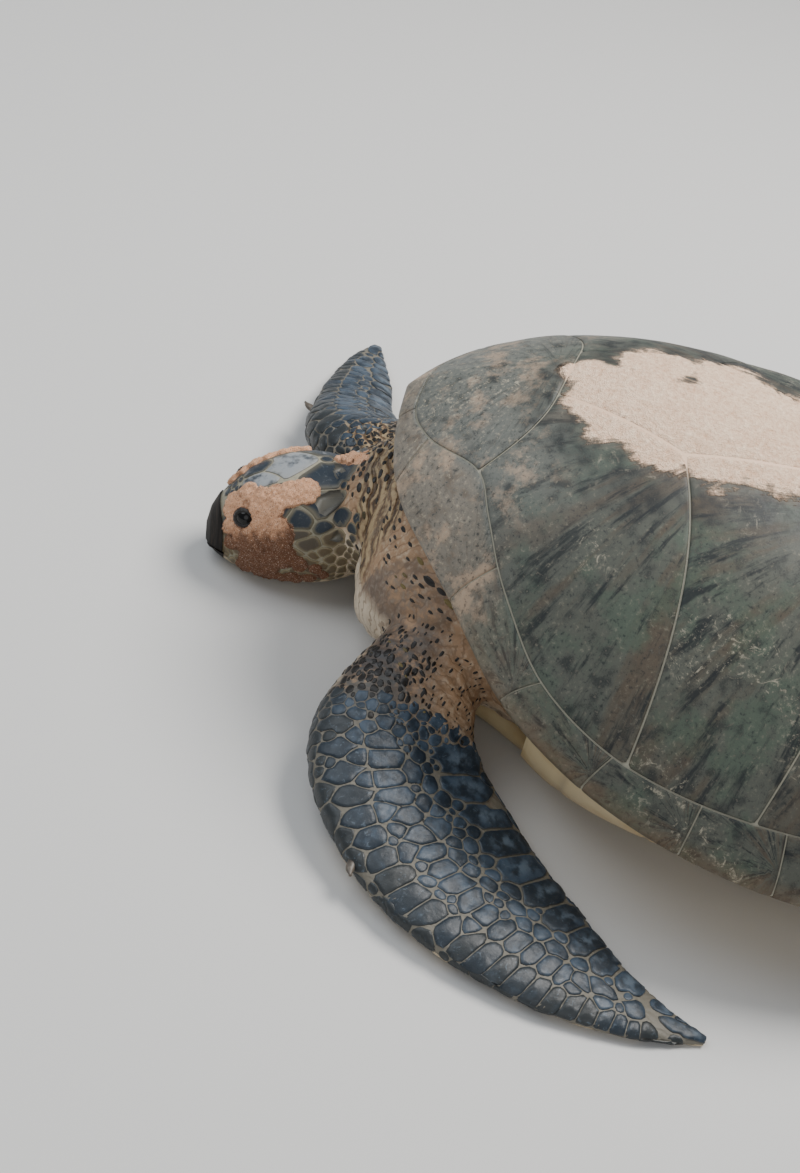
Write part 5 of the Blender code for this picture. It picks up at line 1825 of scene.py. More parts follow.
class Graph:
    """The nodes of one material."""

    def __init__(self, name: str) -> None:
        self.material = bpy.data.materials.new(name)
        self.material.use_nodes = True
        self.tree = self.material.node_tree
        self.shader = self.tree.nodes["Principled BSDF"]

    def feed(self, socket: bpy.types.NodeSocket, value: Signal) -> None:
        """Link a wire to a socket, or set it to a constant."""
        if isinstance(value, Wire):
            self.tree.links.new(value.socket, socket)
        elif isinstance(value, (tuple, list)) and len(value) == 3 and len(socket.default_value) == 4:
            socket.default_value = (*value, 1.0)
        else:
            socket.default_value = value

    def node(self, kind: str, output: str | int = 0, options: dict | None = None, **inputs: Signal) -> Wire:
        """Add a node.

        Args:
            kind: its Blender type.
            output: name or number of the output wanted.
            options: properties of the node.
            inputs: wires or constants by input name, underscores for spaces.

        Returns:
            A wire from the output.
        """
        made = self.tree.nodes.new(kind)
        for key, value in (options or {}).items():
            setattr(made, key, value)
        for key, value in inputs.items():
            place = int(key[1:]) if key[0] == "n" and key[1:].isdigit() else key.replace("_", " ")
            self.feed(made.inputs[place], value)
        return Wire(self, made.outputs[output])

    def math(self, operation: str, first: Signal, second: Signal = 0.0) -> Wire:
        """One step of arithmetic."""
        return self.node("ShaderNodeMath", options={"operation": operation}, n0=first, n1=second)

    def fact(self, name: str, output: str | int = "Fac") -> Wire:
        """A per-point fact of the mesh."""
        return self.node("ShaderNodeAttribute", output, {"attribute_name": name})

    def place(self) -> Wire:
        """Object coordinates."""
        return self.node("ShaderNodeTexCoord", "Object")

    def texture(self, where: Signal, scale: float, detail: float, roughness: float,
                distortion: float = 0.0) -> Wire:
        """Noise of about 0 to 1 over places."""
        return self.node("ShaderNodeTexNoise", "Fac", Vector=where, Scale=scale, Detail=detail,
                         Roughness=roughness, Distortion=distortion)

    def noise(self, size: float, detail: float = 3.0, roughness: float = 0.55,
              distortion: float = 0.0) -> Wire:
        """Noise over the piece with features of a size in metres."""
        return self.texture(self.place(), 1.0 / size, detail, roughness, distortion)

    def step(self, value: Signal, low: float, high: float) -> Wire:
        """A smooth step of a value from 0 at low to 1 at high."""
        return self.node("ShaderNodeMapRange", "Result", {"interpolation_type": "SMOOTHSTEP"},
                         Value=value, From_Min=low, From_Max=high, To_Min=0.0, To_Max=1.0)

    def mix(self, share: Signal, first: Signal, second: Signal) -> Wire:
        """A colour between two."""
        made = self.tree.nodes.new("ShaderNodeMix")
        made.data_type = "RGBA"
        self.feed(made.inputs[0], share)
        self.feed(made.inputs[6], first)
        self.feed(made.inputs[7], second)
        return Wire(self, made.outputs[2])

    def layers(self, colour: Signal, *rows: tuple) -> Wire:
        """Colours laid over each other, by rows of signal, start and end of its step, strength, colour."""
        for value, low, high, strength, over in rows:
            colour = self.mix(self.step(value, low, high) * strength, colour, over)
        return colour

    def bump(self, height: Signal, distance: float, strength: float = 1.0,
             normal: Signal | None = None) -> Wire:
        """A bump of heights 0 to 1 over a distance in metres."""
        inputs = {"Height": height, "Distance": distance, "Strength": strength}
        if normal is not None:
            inputs["Normal"] = normal
        return self.node("ShaderNodeBump", "Normal", **inputs)

    def shade(self, **inputs: Signal) -> Material:
        """Feed the shader's inputs."""
        for key, value in inputs.items():
            self.feed(self.shader.inputs[key.replace("_", " ")], value)
        return self.material


@dataclass(frozen=True)
class SandFinish:
    """Sand with single pale and dark grains."""

    dry: Colour = (0.64, 0.345, 0.195)
    # The sand's colour in painted shade, low on the head.
    damp: Colour = (0.150, 0.064, 0.030)
    pale_grain: Colour = (0.80, 0.66, 0.54)
    dark_grain: Colour = (0.10, 0.050, 0.030)
    grain: float = 0.0011

    def colour(self, graph: Graph, damp: Signal) -> Wire:
        """Colour of the sand, darker by the painted shade given."""
        broad = graph.noise(0.010, 4.0)
        base = graph.mix(graph.step(damp + (broad - 0.5) * 1.3, 0.1, 0.9), self.dry, self.damp)
        fine = graph.noise(self.grain, 1.0)
        base = graph.mix(graph.step(fine, 0.60, 0.70) * 0.55, base, self.pale_grain)
        return graph.mix(graph.step(fine, 0.43, 0.33) * 0.65, base, self.dark_grain)

    def cover(self, graph: Graph, colour: Signal, damp: Signal) -> tuple[Wire, Wire]:
        """Sand over a colour where the fact sand is above zero; returns the colour and the mask."""
        sand = graph.fact("sand") + (graph.noise(0.010, 4.0) - 0.5) * 0.45
        mask = graph.step(sand, -0.04, 0.05)
        return graph.mix(mask, colour, self.colour(graph, damp)), mask

    def grains(self, graph: Graph, mask: Signal, normal: Signal) -> Wire:
        """Bumps of the grains over another bump, where the mask is set."""
        return graph.bump(graph.noise(self.grain, 1.0) * mask, 0.0007, 0.9, normal)

    def build(self) -> Material:
        """Make the material of the clods."""
        graph = Graph("dry_sand")
        height = graph.noise(self.grain, 1.0) * 0.7 + graph.noise(0.0034, 2.0) * 0.5
        return graph.shade(Base_Color=self.colour(graph, graph.fact("damp")), Roughness=0.9,
                           Normal=graph.bump(height, 0.0011, 1.0))


SAND = SandFinish()


@dataclass(frozen=True)
class SkinFinish:
    """Folded skin, tan between the scales and cream below, with painted shade in the troughs of its folds and
    wrinkles.
    """

    tan: Colour = (0.330, 0.205, 0.115)
    cream: Colour = (0.660, 0.560, 0.420)
    slate: Colour = (0.050, 0.052, 0.054)
    seam: Colour = (0.150, 0.135, 0.105)
    head_seam: Colour = (0.300, 0.275, 0.200)
    # Painted shade for the troughs of the neck folds.
    brown: Colour = (0.150, 0.085, 0.042)
    crease_shade: Colour = (0.030, 0.020, 0.013)
    ridge: Colour = (0.380, 0.275, 0.150)

    def build(self) -> Material:
        """Make the material."""
        graph = Graph("turtle_skin")
        blotch, fine = graph.noise(0.035, 4.0), graph.noise(0.006, 4.0)
        colour = graph.layers(self.tan, (blotch, 0.46, 0.70, 0.6, self.brown),
                              (fine, 0.45, 0.75, 0.4, self.cream))
        # The pale collar: cream skin, partly painted bounce light from the sand.
        colour = graph.mix(graph.fact("pale") * (0.45 + 0.75 * fine), colour, self.cream)
        wrinkle = graph.node("ShaderNodeTexWave", "Fac", {"wave_type": "BANDS", "bands_direction": "X"},
                             Vector=graph.place(), Scale=40.0, Distortion=9.0, Detail=3.0, Detail_Scale=1.2)
        # Painted shade: brown in the grooves of the fine wrinkle bands, which the bump below sinks.
        colour = graph.layers(colour, (wrinkle, 0.16, 0.02, 0.55, self.brown),
                              (fine + blotch, 0.70, 1.05, graph.fact("dark"), self.slate))
        seam = graph.mix(graph.fact("on_head"), self.seam, self.head_seam)
        colour = graph.mix(graph.fact("seam_zone"), colour, seam)
        colour = graph.mix(graph.fact("belly"), colour, self.cream)
        # Painted shade: brown in the troughs of the arm wrinkles.
        colour = graph.mix(graph.fact("crease_shade") * 0.75, colour, self.brown)
        warp = (graph.noise(0.045, 3.0) - 0.5) * 0.0120
        angle = (graph.fact("phase") + warp) * (FULL_TURN / (NECK_FOLD / 2))
        wave = graph.math("SINE", angle) * 0.5 + 0.5
        neck = graph.fact("neck")
        # Neck folds: pale ridges, slate blotches, and painted shade in the troughs.
        folds = graph.layers(self.brown, (fine + wave * 0.25, 0.42, 0.80, 1.0, self.ridge),
                             (blotch, 0.54, 0.68, 0.4, self.slate),
                             (wave + blotch * 0.5, 0.40, 0.22, 0.75, self.crease_shade))
        colour = graph.layers(colour, (neck, 0.25, 0.75, 1.0, folds))
        colour, mask = SAND.cover(graph, colour, graph.fact("damp"))
        height = wrinkle * 0.45 + graph.noise(0.0025, 3.0) * 0.45
        bumped = graph.bump(height, 0.0011, 0.8)
        folded = graph.bump(graph.step(wave, 0.0, 0.6) * neck, 0.0026, 0.9, bumped)
        return graph.shade(Base_Color=colour, Roughness=graph.noise(0.02) * 0.25 + 0.48 + mask * 0.25,
                           Normal=SAND.grains(graph, mask, folded))


@dataclass(frozen=True)
class ScaleFinish:
    """Slate-blue scales, olive on the cheeks, brown at the leading edge, cream below, with a painted sheen in
    the middles of the big edge scales.
    """

    slate: Colour = (0.015, 0.024, 0.035)
    drab: Colour = (0.026, 0.027, 0.023)
    pale_slate: Colour = (0.046, 0.070, 0.100)
    # Light blue of the scratches, and of the painted sheen on the big edge scales.
    scratch_and_sheen: Colour = (0.135, 0.175, 0.215)
    cheek_scratch: Colour = (0.15, 0.12, 0.075)
    crown: Colour = (0.275, 0.290, 0.300)
    olive: Colour = (0.120, 0.088, 0.048)
    spot: Colour = (0.012, 0.010, 0.008)
    olive_spot: Colour = (0.135, 0.100, 0.030)
    cream: Colour = (0.52, 0.42, 0.28)
    rim: Colour = (0.110, 0.105, 0.090)
    head_rim: Colour = (0.310, 0.260, 0.150)

    def build(self) -> Material:
        """Make the material."""
        graph = Graph("turtle_scales")
        kind, tone, border = graph.fact("kind"), graph.fact("tone"), graph.fact("border")
        speckle = graph.noise(0.0042, 4.0, roughness=0.65)
        cloud = graph.noise(0.013, 3.0)
        scrape = graph.noise(0.0060, 6.0, roughness=0.75, distortion=0.8)
        # Painted sheen: the middles of the big edge scales are made lighter with the light-blue scratch
        # colour.
        shine = graph.step(border, 0.80, 0.10) * graph.step(cloud, 0.40, 0.60) * 0.55
        blade = graph.layers(self.slate, (cloud + tone * 0.30, 0.55, 0.90, 1.0, self.pale_slate),
                             (tone, 0.30, 0.10, 0.65, self.drab), (scrape, 0.56, 0.68, 0.50, self.scratch_and_sheen),
                             (kind, 0.35, 0.45, shine, self.scratch_and_sheen))
        head = graph.layers(self.olive, (tone, 0.12, 0.42, 1.0, self.slate),
                            (tone + (cloud - 0.5) * 0.5, 0.88, 1.02, 1.0, self.crown),
                            (scrape, 0.54, 0.70, 0.5, graph.mix(tone, self.cheek_scratch, self.scratch_and_sheen)),
                            (border, 0.62, 1.0, 0.80 - tone * 0.65, self.head_rim))
        spot = graph.layers(self.spot, (tone, 0.88, 0.95, 1.0, self.olive_spot))
        colour = graph.layers(head, (kind, 0.05, 0.2, 1.0, blade), (kind, 0.6, 0.72, 1.0, spot),
                              (kind, 0.85, 0.97, 1.0, self.cream),
                              (border, 0.94, 1.0, graph.step(kind, 0.72, 0.55) * 0.8, self.rim))
        # Sand on scales of low tone, the lower ones on the head, gets more painted shade.
        colour, mask = SAND.cover(graph, colour, graph.step(tone, 0.95, 0.35))
        pits = graph.bump(speckle + scrape * 0.6, 0.0006, 0.55)
        return graph.shade(Base_Color=colour, Roughness=speckle * 0.30 + 0.26 + mask * 0.40,
                           Normal=SAND.grains(graph, mask, pits), Specular_IOR_Level=0.40)


@dataclass(frozen=True)
class CarapaceFinish:
    """Olive horn with darker streaks that spread from each scute's growth centre."""

    olive: Colour = (0.078, 0.082, 0.066)
    # The grey of the painted light on the front scutes.
    grey: Colour = (0.145, 0.150, 0.134)
    brown: Colour = (0.078, 0.050, 0.030)
    dark: Colour = (0.009, 0.012, 0.014)
    green: Colour = (0.060, 0.088, 0.062)
    rim: Colour = (0.300, 0.175, 0.080)
    speck: Colour = (0.400, 0.360, 0.270)
    stain: Colour = (0.400, 0.290, 0.200)
    dust: Colour = (0.42, 0.32, 0.24)
    pale_sand: Colour = (0.99, 0.75, 0.55)
    below: Colour = (0.420, 0.310, 0.170)

    def build(self) -> Material:
        """Make the material."""
        graph = Graph("carapace_horn")
        grain = graph.fact("grain", "Vector")
        streak = graph.texture(grain, 5.0, 6.0, 0.66)
        wide = graph.texture(grain, 2.0, 4.0, 0.6)
        cloud = graph.noise(0.085, 5.0, roughness=0.6)
        mottle = graph.noise(0.020, 6.0, roughness=0.72)
        fine = graph.noise(0.0050, 5.0, roughness=0.72)
        # The pale mark is painted light on the up-facing front scutes; the stains and specks laid there
        # follow it.
        front = graph.fact("pale")
        colour = graph.layers(self.olive, (wide, 0.46, 0.64, 0.65, self.brown),
                              (cloud, 0.48, 0.62, 0.65, self.green))
        # Painted light: the front turns grey and its dark streaks weaken.
        colour = graph.mix(front * (cloud * 0.6 + 0.55), colour, self.grey)
        colour = graph.layers(colour, (streak, 0.50, 0.64, 0.88 - front * 0.55, self.dark),
                              (mottle, 0.52, 0.64, 0.72, self.dark))
        edging = graph.step(graph.fact("rim"), 0.0, 0.2)
        colour = graph.mix(front * edging * fine * 0.50, colour, self.stain)
        tan = graph.step(front, 0.25, 0.7) * (edging * 0.3 + 0.60)
        patch = graph.step(graph.noise(0.11, 3.0), 0.50, 0.60)
        worn = graph.noise(0.016, 7.0, roughness=0.78, distortion=1.4)
        colour = graph.layers(colour, (graph.noise(0.050, 6.0, roughness=0.7), 0.50, 0.64, tan, self.stain),
                              (worn, 0.55, 0.65, patch * 0.8, self.speck),
                              (fine, 0.54, 0.70, 0.22 + front * 0.45 + patch * 0.30, self.speck),
                              (fine, 0.47, 0.32, 0.70, self.dark))
        colour = graph.mix(graph.fact("warm") * (mottle + 0.25), colour, self.rim)
        colour = graph.mix(graph.fact("under"), colour, self.below)
        ragged = graph.noise(0.035, 6.0, roughness=0.68) * 0.55 + streak * 0.45
        sand = graph.fact("sand") + (ragged - 0.5) * 1.6
        mask = graph.step(sand, 0.04, 0.22)
        moist = graph.step(mottle, 0.35, 0.60) * 0.60
        dry = 0.66 + (fine - 0.5) * 1.5 + (mottle - 0.5) * 1.1
        grainy = graph.mix(dry, SAND.colour(graph, 0.0), self.pale_sand)
        colour = graph.layers(colour, (sand, -1.1, -0.3, moist, self.dark),
                              (sand, -0.15, 0.5, 0.45, self.dust))
        colour = graph.mix(mask, colour, grainy)
        bumped = graph.bump(streak * 0.6 + fine * 0.4, 0.0009, 0.6)
        lumps = graph.noise(0.0013, 1.0) + graph.noise(0.0050, 3.0) + mottle * 1.6
        grains = graph.bump(lumps * mask, 0.0022, 0.9, bumped)
        return graph.shade(Base_Color=colour, Roughness=fine * 0.35 + 0.36 + mask * 0.35, Normal=grains,
                           Specular_IOR_Level=0.30)


@dataclass(frozen=True)
class ClawFinish:
    """Dull brown horn with paler clouds."""

    brown: Colour = (0.055, 0.045, 0.036)
    pale: Colour = (0.13, 0.105, 0.080)

    def build(self) -> Material:
        """Make the material."""
        graph = Graph("claw_horn")
        noise = graph.noise(0.006, 4.0)
        return graph.shade(Base_Color=graph.mix(graph.step(noise, 0.40, 0.65), self.brown, self.pale),
                           Roughness=0.45, Normal=graph.bump(noise, 0.0005, 0.4))


@dataclass(frozen=True)
class SeamFinish:
    """Pale base of the carapace that shows in the seams."""

    pale: Colour = (0.330, 0.310, 0.240)
    sandy: Colour = (0.820, 0.560, 0.385)
    below: Colour = (0.45, 0.33, 0.18)

    def build(self) -> Material:
        """Make the material."""
        graph = Graph("carapace_seams")
        colour = graph.mix(graph.fact("below"), self.pale, self.below)
        sand = graph.fact("sand") + (graph.noise(0.035, 6.0, roughness=0.65) - 0.5) * 1.15
        colour = graph.mix(graph.step(sand, 0.0, 0.15), colour, self.sandy)
        return graph.shade(Base_Color=colour, Roughness=0.6,
                           Normal=graph.bump(graph.noise(0.003, 4.0), 0.0006, 0.5))


@dataclass(frozen=True)
class BellyFinish:
    """Cream to yellow horn of the underside with slightly darker seams."""

    cream: Colour = (0.66, 0.53, 0.31)
    yellow: Colour = (0.55, 0.39, 0.18)
    seam: Colour = (0.30, 0.22, 0.13)

    def build(self) -> Material:
        """Make the material."""
        graph = Graph("plastron_horn")
        cloud = graph.noise(0.09, 4.0)
        colour = graph.mix(graph.step(cloud, 0.4, 0.65), self.cream, self.yellow)
        colour = graph.mix(graph.fact("seam") * 0.7, colour, self.seam)
        return graph.shade(Base_Color=colour, Roughness=0.45,
                           Normal=graph.bump(graph.noise(0.006, 4.0), 0.0007, 0.35))


@dataclass(frozen=True)
class BeakFinish:
    """Dark brown-grey horn with upright streaks."""

    dark: Colour = (0.005, 0.003, 0.002)
    light: Colour = (0.040, 0.028, 0.020)

    def build(self) -> Material:
        """Make the material."""
        graph = Graph("beak_horn")
        rise, along = graph.fact("rise"), graph.fact("along")
        where = graph.node("ShaderNodeCombineXYZ", X=along * 60.0, Y=rise * 1.2, Z=0.0)
        streak = graph.texture(where, 1.6, 4.0, 0.6)
        colour = graph.mix(graph.step(streak, 0.45, 0.72) * 0.8, self.dark, self.light)
        return graph.shade(Base_Color=colour, Roughness=streak * 0.2 + 0.50, Specular_IOR_Level=0.22,
                           Normal=graph.bump(streak, 0.0008, 0.5))


@dataclass(frozen=True)
class EyeFinish:
    """A wet eye: black pupil in a very dark brown iris."""

    pupil: Colour = (0.001, 0.001, 0.001)
    iris: Colour = (0.005, 0.004, 0.003)
    white: Colour = (0.020, 0.015, 0.012)

    def build(self) -> Material:
        """Make the material."""
        graph = Graph("turtle_eye")
        polar = graph.fact("polar")
        colour = graph.mix(graph.step(polar, 0.42, 0.50), self.pupil, self.iris)
        colour = graph.mix(graph.step(polar, 0.95, 1.15), colour, self.white)
        return graph.shade(Base_Color=colour, Roughness=0.10, Specular_IOR_Level=0.35)


# --- putting it together -----------------------------------------------------------------------

# Each limb's rows of large scales, its finest and coarsest filling scale, and where its blade begins.
LIMB_GRADES = (
    ("front_left", FRONT_ROWS, 0.0054, 0.0118, 0.31), ("front_right", FRONT_ROWS, 0.0050, 0.0108, 0.31),
    ("hind_left", HIND_ROWS, 0.0046, 0.0085, 0.28), ("hind_right", HIND_ROWS, 0.0046, 0.0085, 0.28),
)
# Where seams show between scales: limb, share where its blade begins and reach from its line.
SEAM_ZONES = (
    ("front_left", 0.30, 0.115), ("front_right", 0.30, 0.105), ("hind_left", 0.28, 0.09),
    ("hind_right", 0.28, 0.09), ("tail", 0.2, 0.07),
)
# Middle of the dark patch on each shoulder.
SHOULDER_SHADE = (0.216, -0.290, 0.126)
# Nodes of the solid model that the skin stands for.
FLESH = (
    "head", "lower_jaw", "neck", "trunk", "tail", "front_arm_left", "front_arm_right",
    "front_flipper_left", "front_flipper_right", "hind_thigh_left", "hind_thigh_right",
    "hind_flipper_left", "hind_flipper_right",
)


def set_fact(thing: Thing, name: str, values: Array) -> None:
    """Give a finished mesh a per-point fact."""
    layer = thing.data.attributes.new(name, "FLOAT", "POINT")
    layer.data.foreach_set("value", np.asarray(values, np.float32).ravel())


def dress(thing: Thing, material: Material, slot: str, *nodes: str) -> None:
    """Give a piece its finish and body, and hide the solid nodes it stands for."""
    thing.data.materials.append(material)
    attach(thing, BODY)
    if nodes:
        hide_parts(*nodes)
    LOG.info("%s: %d points", thing.name, len(thing.data.vertices))


def limb_place(form: LimbForm, points: Array) -> tuple[Array, Array]:
    """Nearest share along a limb's line and distance from it, for points."""
    along = np.linspace(0, 1, 60)
    line = form.frame(along)[0]
    best, share = np.full(len(points), 9.0), np.zeros(len(points))
    for number, centre in enumerate(line):
        away = np.linalg.norm(points - centre, axis=1)
        closer = away < best
        best[closer] = away[closer]
        share[closer] = along[number]
    return share, best


@dataclass(frozen=True)
class SkinMarks:
    """Colour facts of the skin; a pair says where a mark begins and where it is full."""

    skin: Skin
    blade: tuple = (-0.08, 0.05)
    arm: tuple = (-0.24, -0.06)
    hand: float = 0.10
    trailing: tuple = (0.40, 0.80)
    thinnest: float = 0.004
    head: tuple = (0.20, 0.30)
    head_half: float = 0.1
    upward: tuple = (-0.2, 0.7)
    downward: tuple = (0.80, 0.98)
    chin: tuple = (0.004, 0.018)
    # Painted shade on the sand, darker towards the bottom of the head.
    shaded_height: float = 0.098
    shaded_range: float = 0.04
    shade: tuple = (0.018, 0.060)
    front: tuple = (62, 75)
    collar: tuple = (36, 46)
    collar_height: float = 0.114
    collar_drop: float = 0.036
    collar_edge: tuple = (-0.014, 0.012)
    below_rim: tuple = (0.015, 0.040)
    near_rim: tuple = (0.6, 0.8)

    def limbs(self) -> tuple[Array, Array]:
        """Where seams show between scales, and where the leading side of the arms is dark."""
        points = self.skin.points
        seams, dark = np.zeros(len(points)), np.zeros(len(points))
        for name, wrist, reach in SEAM_ZONES:
            form = self.skin.forms[name]
            share, away = limb_place(form, points)
            near = away < reach
            past = share - wrist
            seams = np.maximum(seams, ramp(past, *self.blade) * near)
            centre, _, across, _, sizes = form.frame(share)
            lead = 1.0 if form.lean < 0 else -1.0
            off = ((points - centre) * across).sum(1) / np.maximum(sizes[:, 0], self.thinnest)
            arm = ramp(past, *self.arm) * (1 - ramp(0.5 - 0.5 * lead * off, *self.trailing))
            dark = np.maximum(dark, arm * near * (1 - 0.75 * ramp(past, 0.0, self.hand)))
        return seams, dark

    def shoulder_shade(self) -> Array:
        """The smoky patch on each shoulder."""
        points = self.skin.points.copy()
        points[:, 0] = np.abs(points[:, 0])
        away = np.linalg.norm(points - SHOULDER_SHADE, axis=1)
        return (1 - ramp(away, *self.shade)) * 0.78

    def collar_skin(self) -> Array:
        """The pale skin between the shell's front rim and the shoulders: cream skin, made light enough to
        stand in for the light that the sand throws up under the rim, so partly painted bounce light.
        """
        points, normals = self.skin.points, self.skin.normals
        raw = SHELL.from_floor(points)
        turn, share = SHELL.share(raw[:, 0], raw[:, 1])
        degrees = np.degrees(np.abs(turn))
        limit = self.collar_height - self.collar_drop * ramp(degrees, *self.collar)
        low = 1 - ramp(points[:, 2] + 0.02 * normals[:, 2] - limit, *self.collar_edge)
        depth = ramp(SHELL.rim(turn) - raw[:, 2], *self.below_rim)
        return (1 - ramp(degrees, *self.front)) * low * depth * ramp(share, *self.near_rim)

    def paint(self) -> None:
        """Give the skin its facts."""
        skin, upright = self.skin, self.skin.normals[:, 2]
        seams, dark = self.limbs()
        station, side, height = HEAD.frame(skin.points)
        on_head = ramp(station, *self.head) * (np.abs(side) < self.head_half)
        pale = (1 - on_head) * self.collar_skin()
        dark = np.maximum(dark, self.shoulder_shade())
        neck = skin.place * (1 - on_head) * (1 - 0.95 * pale)
        belly = np.maximum(ramp(-upright, *self.downward), on_head * (1 - ramp(height, *self.chin)) * 0.6)
        facts = {"seam_zone": np.maximum(seams, on_head), "dark": np.clip(dark * (1 - 0.8 * pale), 0, 1),
                 "belly": belly * (1 - neck * ramp(upright, *self.upward)), "crease_shade": skin.crease_shade,
                 "sand": skin_sand(skin.points), "neck": neck, "pale": pale, "on_head": on_head,
                 "damp": ramp(self.shaded_height - height, 0, self.shaded_range), "phase": skin.phase}
        for name, values in facts.items():
            set_fact(skin.thing, name, values)


@dataclass(frozen=True)
class ShellMarks:
    """Colour facts of the scutes; a pair says where a mark begins and where it is full."""

    front_degrees: tuple = (22, 62)
    front_share: tuple = (0.45, 0.85)
    side_degrees: tuple = (40, 95)
    side_share: tuple = (0.85, 0.97)
    side_strength: float = 0.35
    rim_share: tuple = (0.988, 1.0)
    rim_start: tuple = (40, 60)
    rim_stop: tuple = (120, 170)
    rim_strength: float = 0.22

    def paint(self, thing: Thing) -> None:
        """Mark the scutes pale near the front and along the front of the rim, and warm along the sides of the
        rim. The pale marks are painted light: the front scutes lighter where they face up, and a painted
        highlight along the rim.
        """
        points, _ = read_mesh(thing.data)
        raw = SHELL.from_floor(points)
        bearing, share = SHELL.share(raw[:, 0], raw[:, 1])
        turn = np.degrees(np.abs(bearing))
        # Painted light: a lighter front, and a weaker painted highlight along the front of the rim.
        front = (1 - ramp(turn, *self.front_degrees)) * ramp(share, *self.front_share)
        sides = (1 - ramp(turn, *self.side_degrees)) * ramp(share, *self.side_share)
        warm = ramp(share, *self.rim_share) * ramp(turn, *self.rim_start) * (1 - ramp(turn, *self.rim_stop))
        set_fact(thing, "pale", np.clip(front + self.side_strength * sides, 0, 1))
        set_fact(thing, "warm", warm * self.rim_strength)


def build_flesh() -> tuple[Skin, Material]:
    """The skin, the scales on it, and their facts and finishes.

    Returns:
        The skin and the finish of the scales.
    """
    skin = Skin(limb_forms())
    skin.join()
    skin.finish()
    SkinMarks(skin).paint()
    dress(skin.thing, SkinFinish().build(), "skin", *FLESH)
    finish = ScaleFinish().build()
    for name, rows, fine, coarse, wrist in LIMB_GRADES:
        seeds = Seeds()
        LimbScales(skin.forms[name], skin, seeds, rows, fine, coarse, wrist, SEED + len(name)).place()
        dress(ScaleCoat(skin, seeds).build("scales_" + name), finish, "skin")
    seeds = Seeds()
    HeadScales(skin, seeds).place()
    TubeScales(skin.forms["neck"], skin, seeds).place_neck()
    ShoulderSpots(skin, seeds).place()
    TubeScales(skin.forms["tail"], skin, seeds).place_tail()
    dress(ScaleCoat(skin, seeds).build("scales_head_neck_tail"), finish, "skin")
    return skin, finish


def build_details(skin: Skin, scale_finish: Material) -> None:
    """Eyes, lids, sand, beak and claws."""
    lids = Shape()
    eye_finish = EyeFinish().build()
    for name, side in (("left", 1), ("right", -1)):
        eye = Eye(side)
        eye.lids(lids)
        dress(eye.ball("eyeball_" + name), eye_finish, "eye", "eye_" + name)
    dress(lids.build("eyelids"), scale_finish, "skin")
    sand = SAND.build()
    for crust in (SandCrust("cheek_sand", HEAD_SAND, (0.27, 0.915), (-1.05, 1.60), 0.0020),
                  SandCrust("crown_sand", CROWN_SAND, (0.35, 0.90), (1.70, 2.75), 0.0038),
                  SandCrust("nape_sand", NAPE_SAND, (0.02, 0.32), (1.10, 2.20), 0.0032)):
        dress(crust.build(skin), sand, "skin")
    beak, horn = Beak(), BeakFinish().build()
    dress(beak.upper(), horn, "beak", "upper_beak")
    dress(beak.lower(), horn, "beak", "lower_beak")
    claw_finish = ClawFinish().build()
    for limb, share in (("front", 0.46), ("hind", 0.54)):
        for side in ("left", "right"):
            name = f"{limb}_flipper_{side}_claw"
            claw = Claw(skin.forms[f"{limb}_{side}"], share)
            dress(claw.build(name), claw_finish, "claw", name)


def build_shell() -> None:
    """Carapace, plastron and bridges."""
    carapace = Carapace()
    dress(carapace.base(), SeamFinish().build(), "carapace", "carapace")
    scutes = carapace.scutes()
    ShellMarks().paint(scutes)
    dress(scutes, CarapaceFinish().build(), "carapace")
    under, belly = Underside(), BellyFinish().build()
    dress(under.plastron(), belly, "plastron", "plastron")
    dress(under.bridge(1), belly, "plastron", "bridge_left")
    dress(under.bridge(-1), belly, "plastron", "bridge_right")


def put_at(thing: Thing, right: Values, up: Values, back: Values, place: Values) -> None:
    """Link a camera or light to the scene, turned by its three directions and at its place."""
    bpy.context.scene.collection.objects.link(thing)
    matrix = np.eye(4)
    matrix[:3] = np.column_stack([right, up, back, place])
    thing.matrix_world = Matrix(matrix)


@dataclass(frozen=True)
class SoftLight:
    """One large round light that looks at a point."""

    name: str
    place: tuple
    aim: tuple
    size: float
    power: float
    colour: Colour

    def build(self) -> None:
        """Add the light."""
        data = bpy.data.lights.new(self.name, "AREA")
        data.shape = "DISK"
        data.size = self.size
        data.energy = self.power
        data.color = self.colour
        back = unit(np.subtract(self.place, self.aim))
        right = unit(np.cross((0.0, 0.0, 1.0), back))
        put_at(bpy.data.objects.new(self.name, data), right, np.cross(back, right), back, self.place)


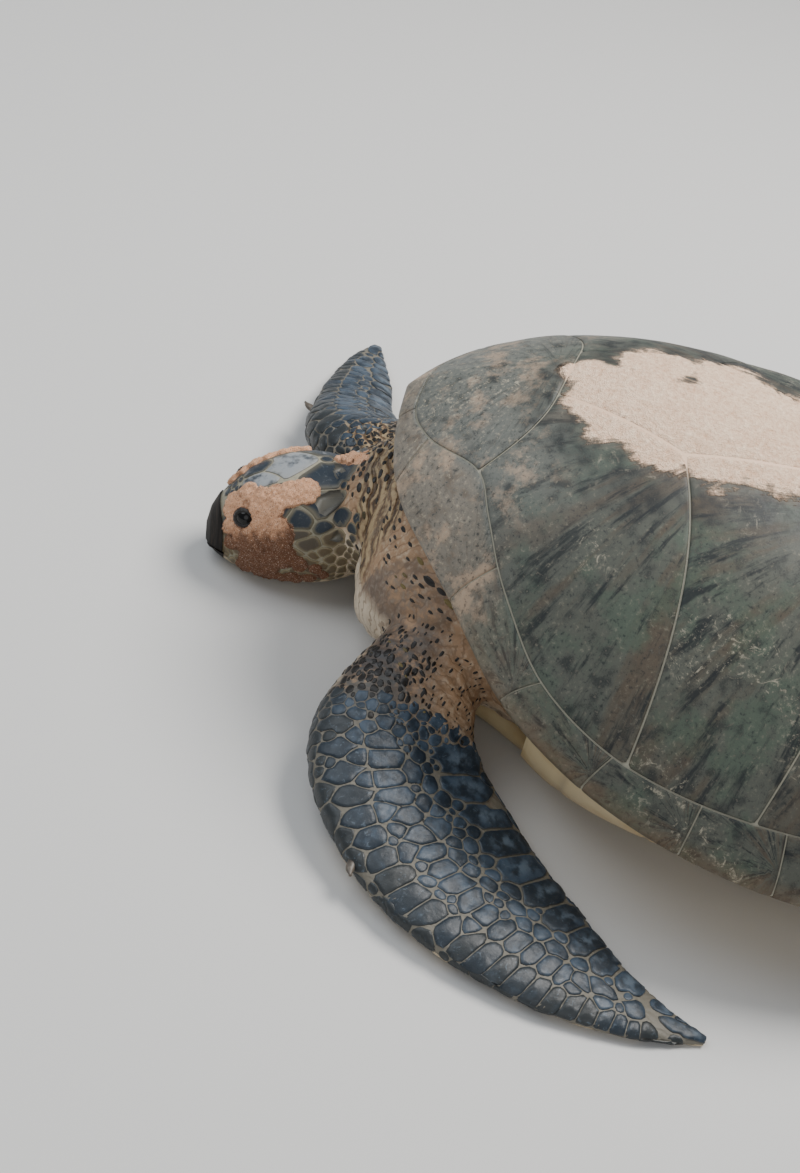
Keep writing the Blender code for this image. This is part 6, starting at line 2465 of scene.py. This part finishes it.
@dataclass(frozen=True)
class Studio:
    """Floor, soft lights and camera."""

    eye: tuple = (1.752638, -0.105063, 1.387467)
    right: tuple = (-0.3066883, 0.9221713, 0.2356743)
    up: tuple = (-0.5379585, -0.3722058, 0.7563488)
    back: tuple = (0.7852025, 0.1051803, 0.6102411)
    lens: float = 60.2
    floor_half: float = 8.0
    floor_colour: Colour = (0.62, 0.61, 0.59)
    sky_colour: tuple = (0.80, 0.86, 0.95, 1.0)
    sky_strength: float = 0.36
    lights: tuple = (
        SoftLight("key", (-1.4, 0.9, 3.2), (0, 0, 0.1), 2.0, 180.0, (1.0, 0.98, 0.95)),
        SoftLight("sky", (0.4, -2.2, 3.0), (0, -0.2, 0.1), 3.0, 62.0, (0.90, 0.95, 1.0)),
        SoftLight("fill", (2.6, 0.4, 1.6), (0, 0, 0.1), 2.4, 16.0, (1.0, 0.99, 0.97)),
    )

    def camera(self) -> None:
        """The camera, which looks from the animal's left and above."""
        data = bpy.data.cameras.new("camera")
        data.lens = self.lens
        data.sensor_width = 36.0
        data.clip_start, data.clip_end = 0.05, 50.0
        thing = bpy.data.objects.new("camera", data)
        put_at(thing, self.right, self.up, self.back, self.eye)
        bpy.context.scene.camera = thing

    def floor(self) -> None:
        """A plain pale floor."""
        half = self.floor_half
        shape = Shape()
        shape.add([(-half, -half, 0), (half, -half, 0), (half, half, 0), (-half, half, 0)], [(0, 1, 2, 3)])
        thing = shape.build("floor", shade_smooth=False)
        thing.data.materials.append(Graph("studio_floor").shade(Base_Color=self.floor_colour, Roughness=0.8))

    def build(self) -> None:
        """Set the stage."""
        self.floor()
        for light in self.lights:
            light.build()
        world = bpy.data.worlds.new("studio")
        bpy.context.scene.world = world
        world.use_nodes = True
        inputs = world.node_tree.nodes["Background"].inputs
        inputs["Color"].default_value = self.sky_colour
        inputs["Strength"].default_value = self.sky_strength
        self.camera()


def main() -> None:
    """Build the looks around the frame."""
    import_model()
    build_details(*build_flesh())
    build_shell()
    Studio().build()


if __name__ == "__main__":
    main()
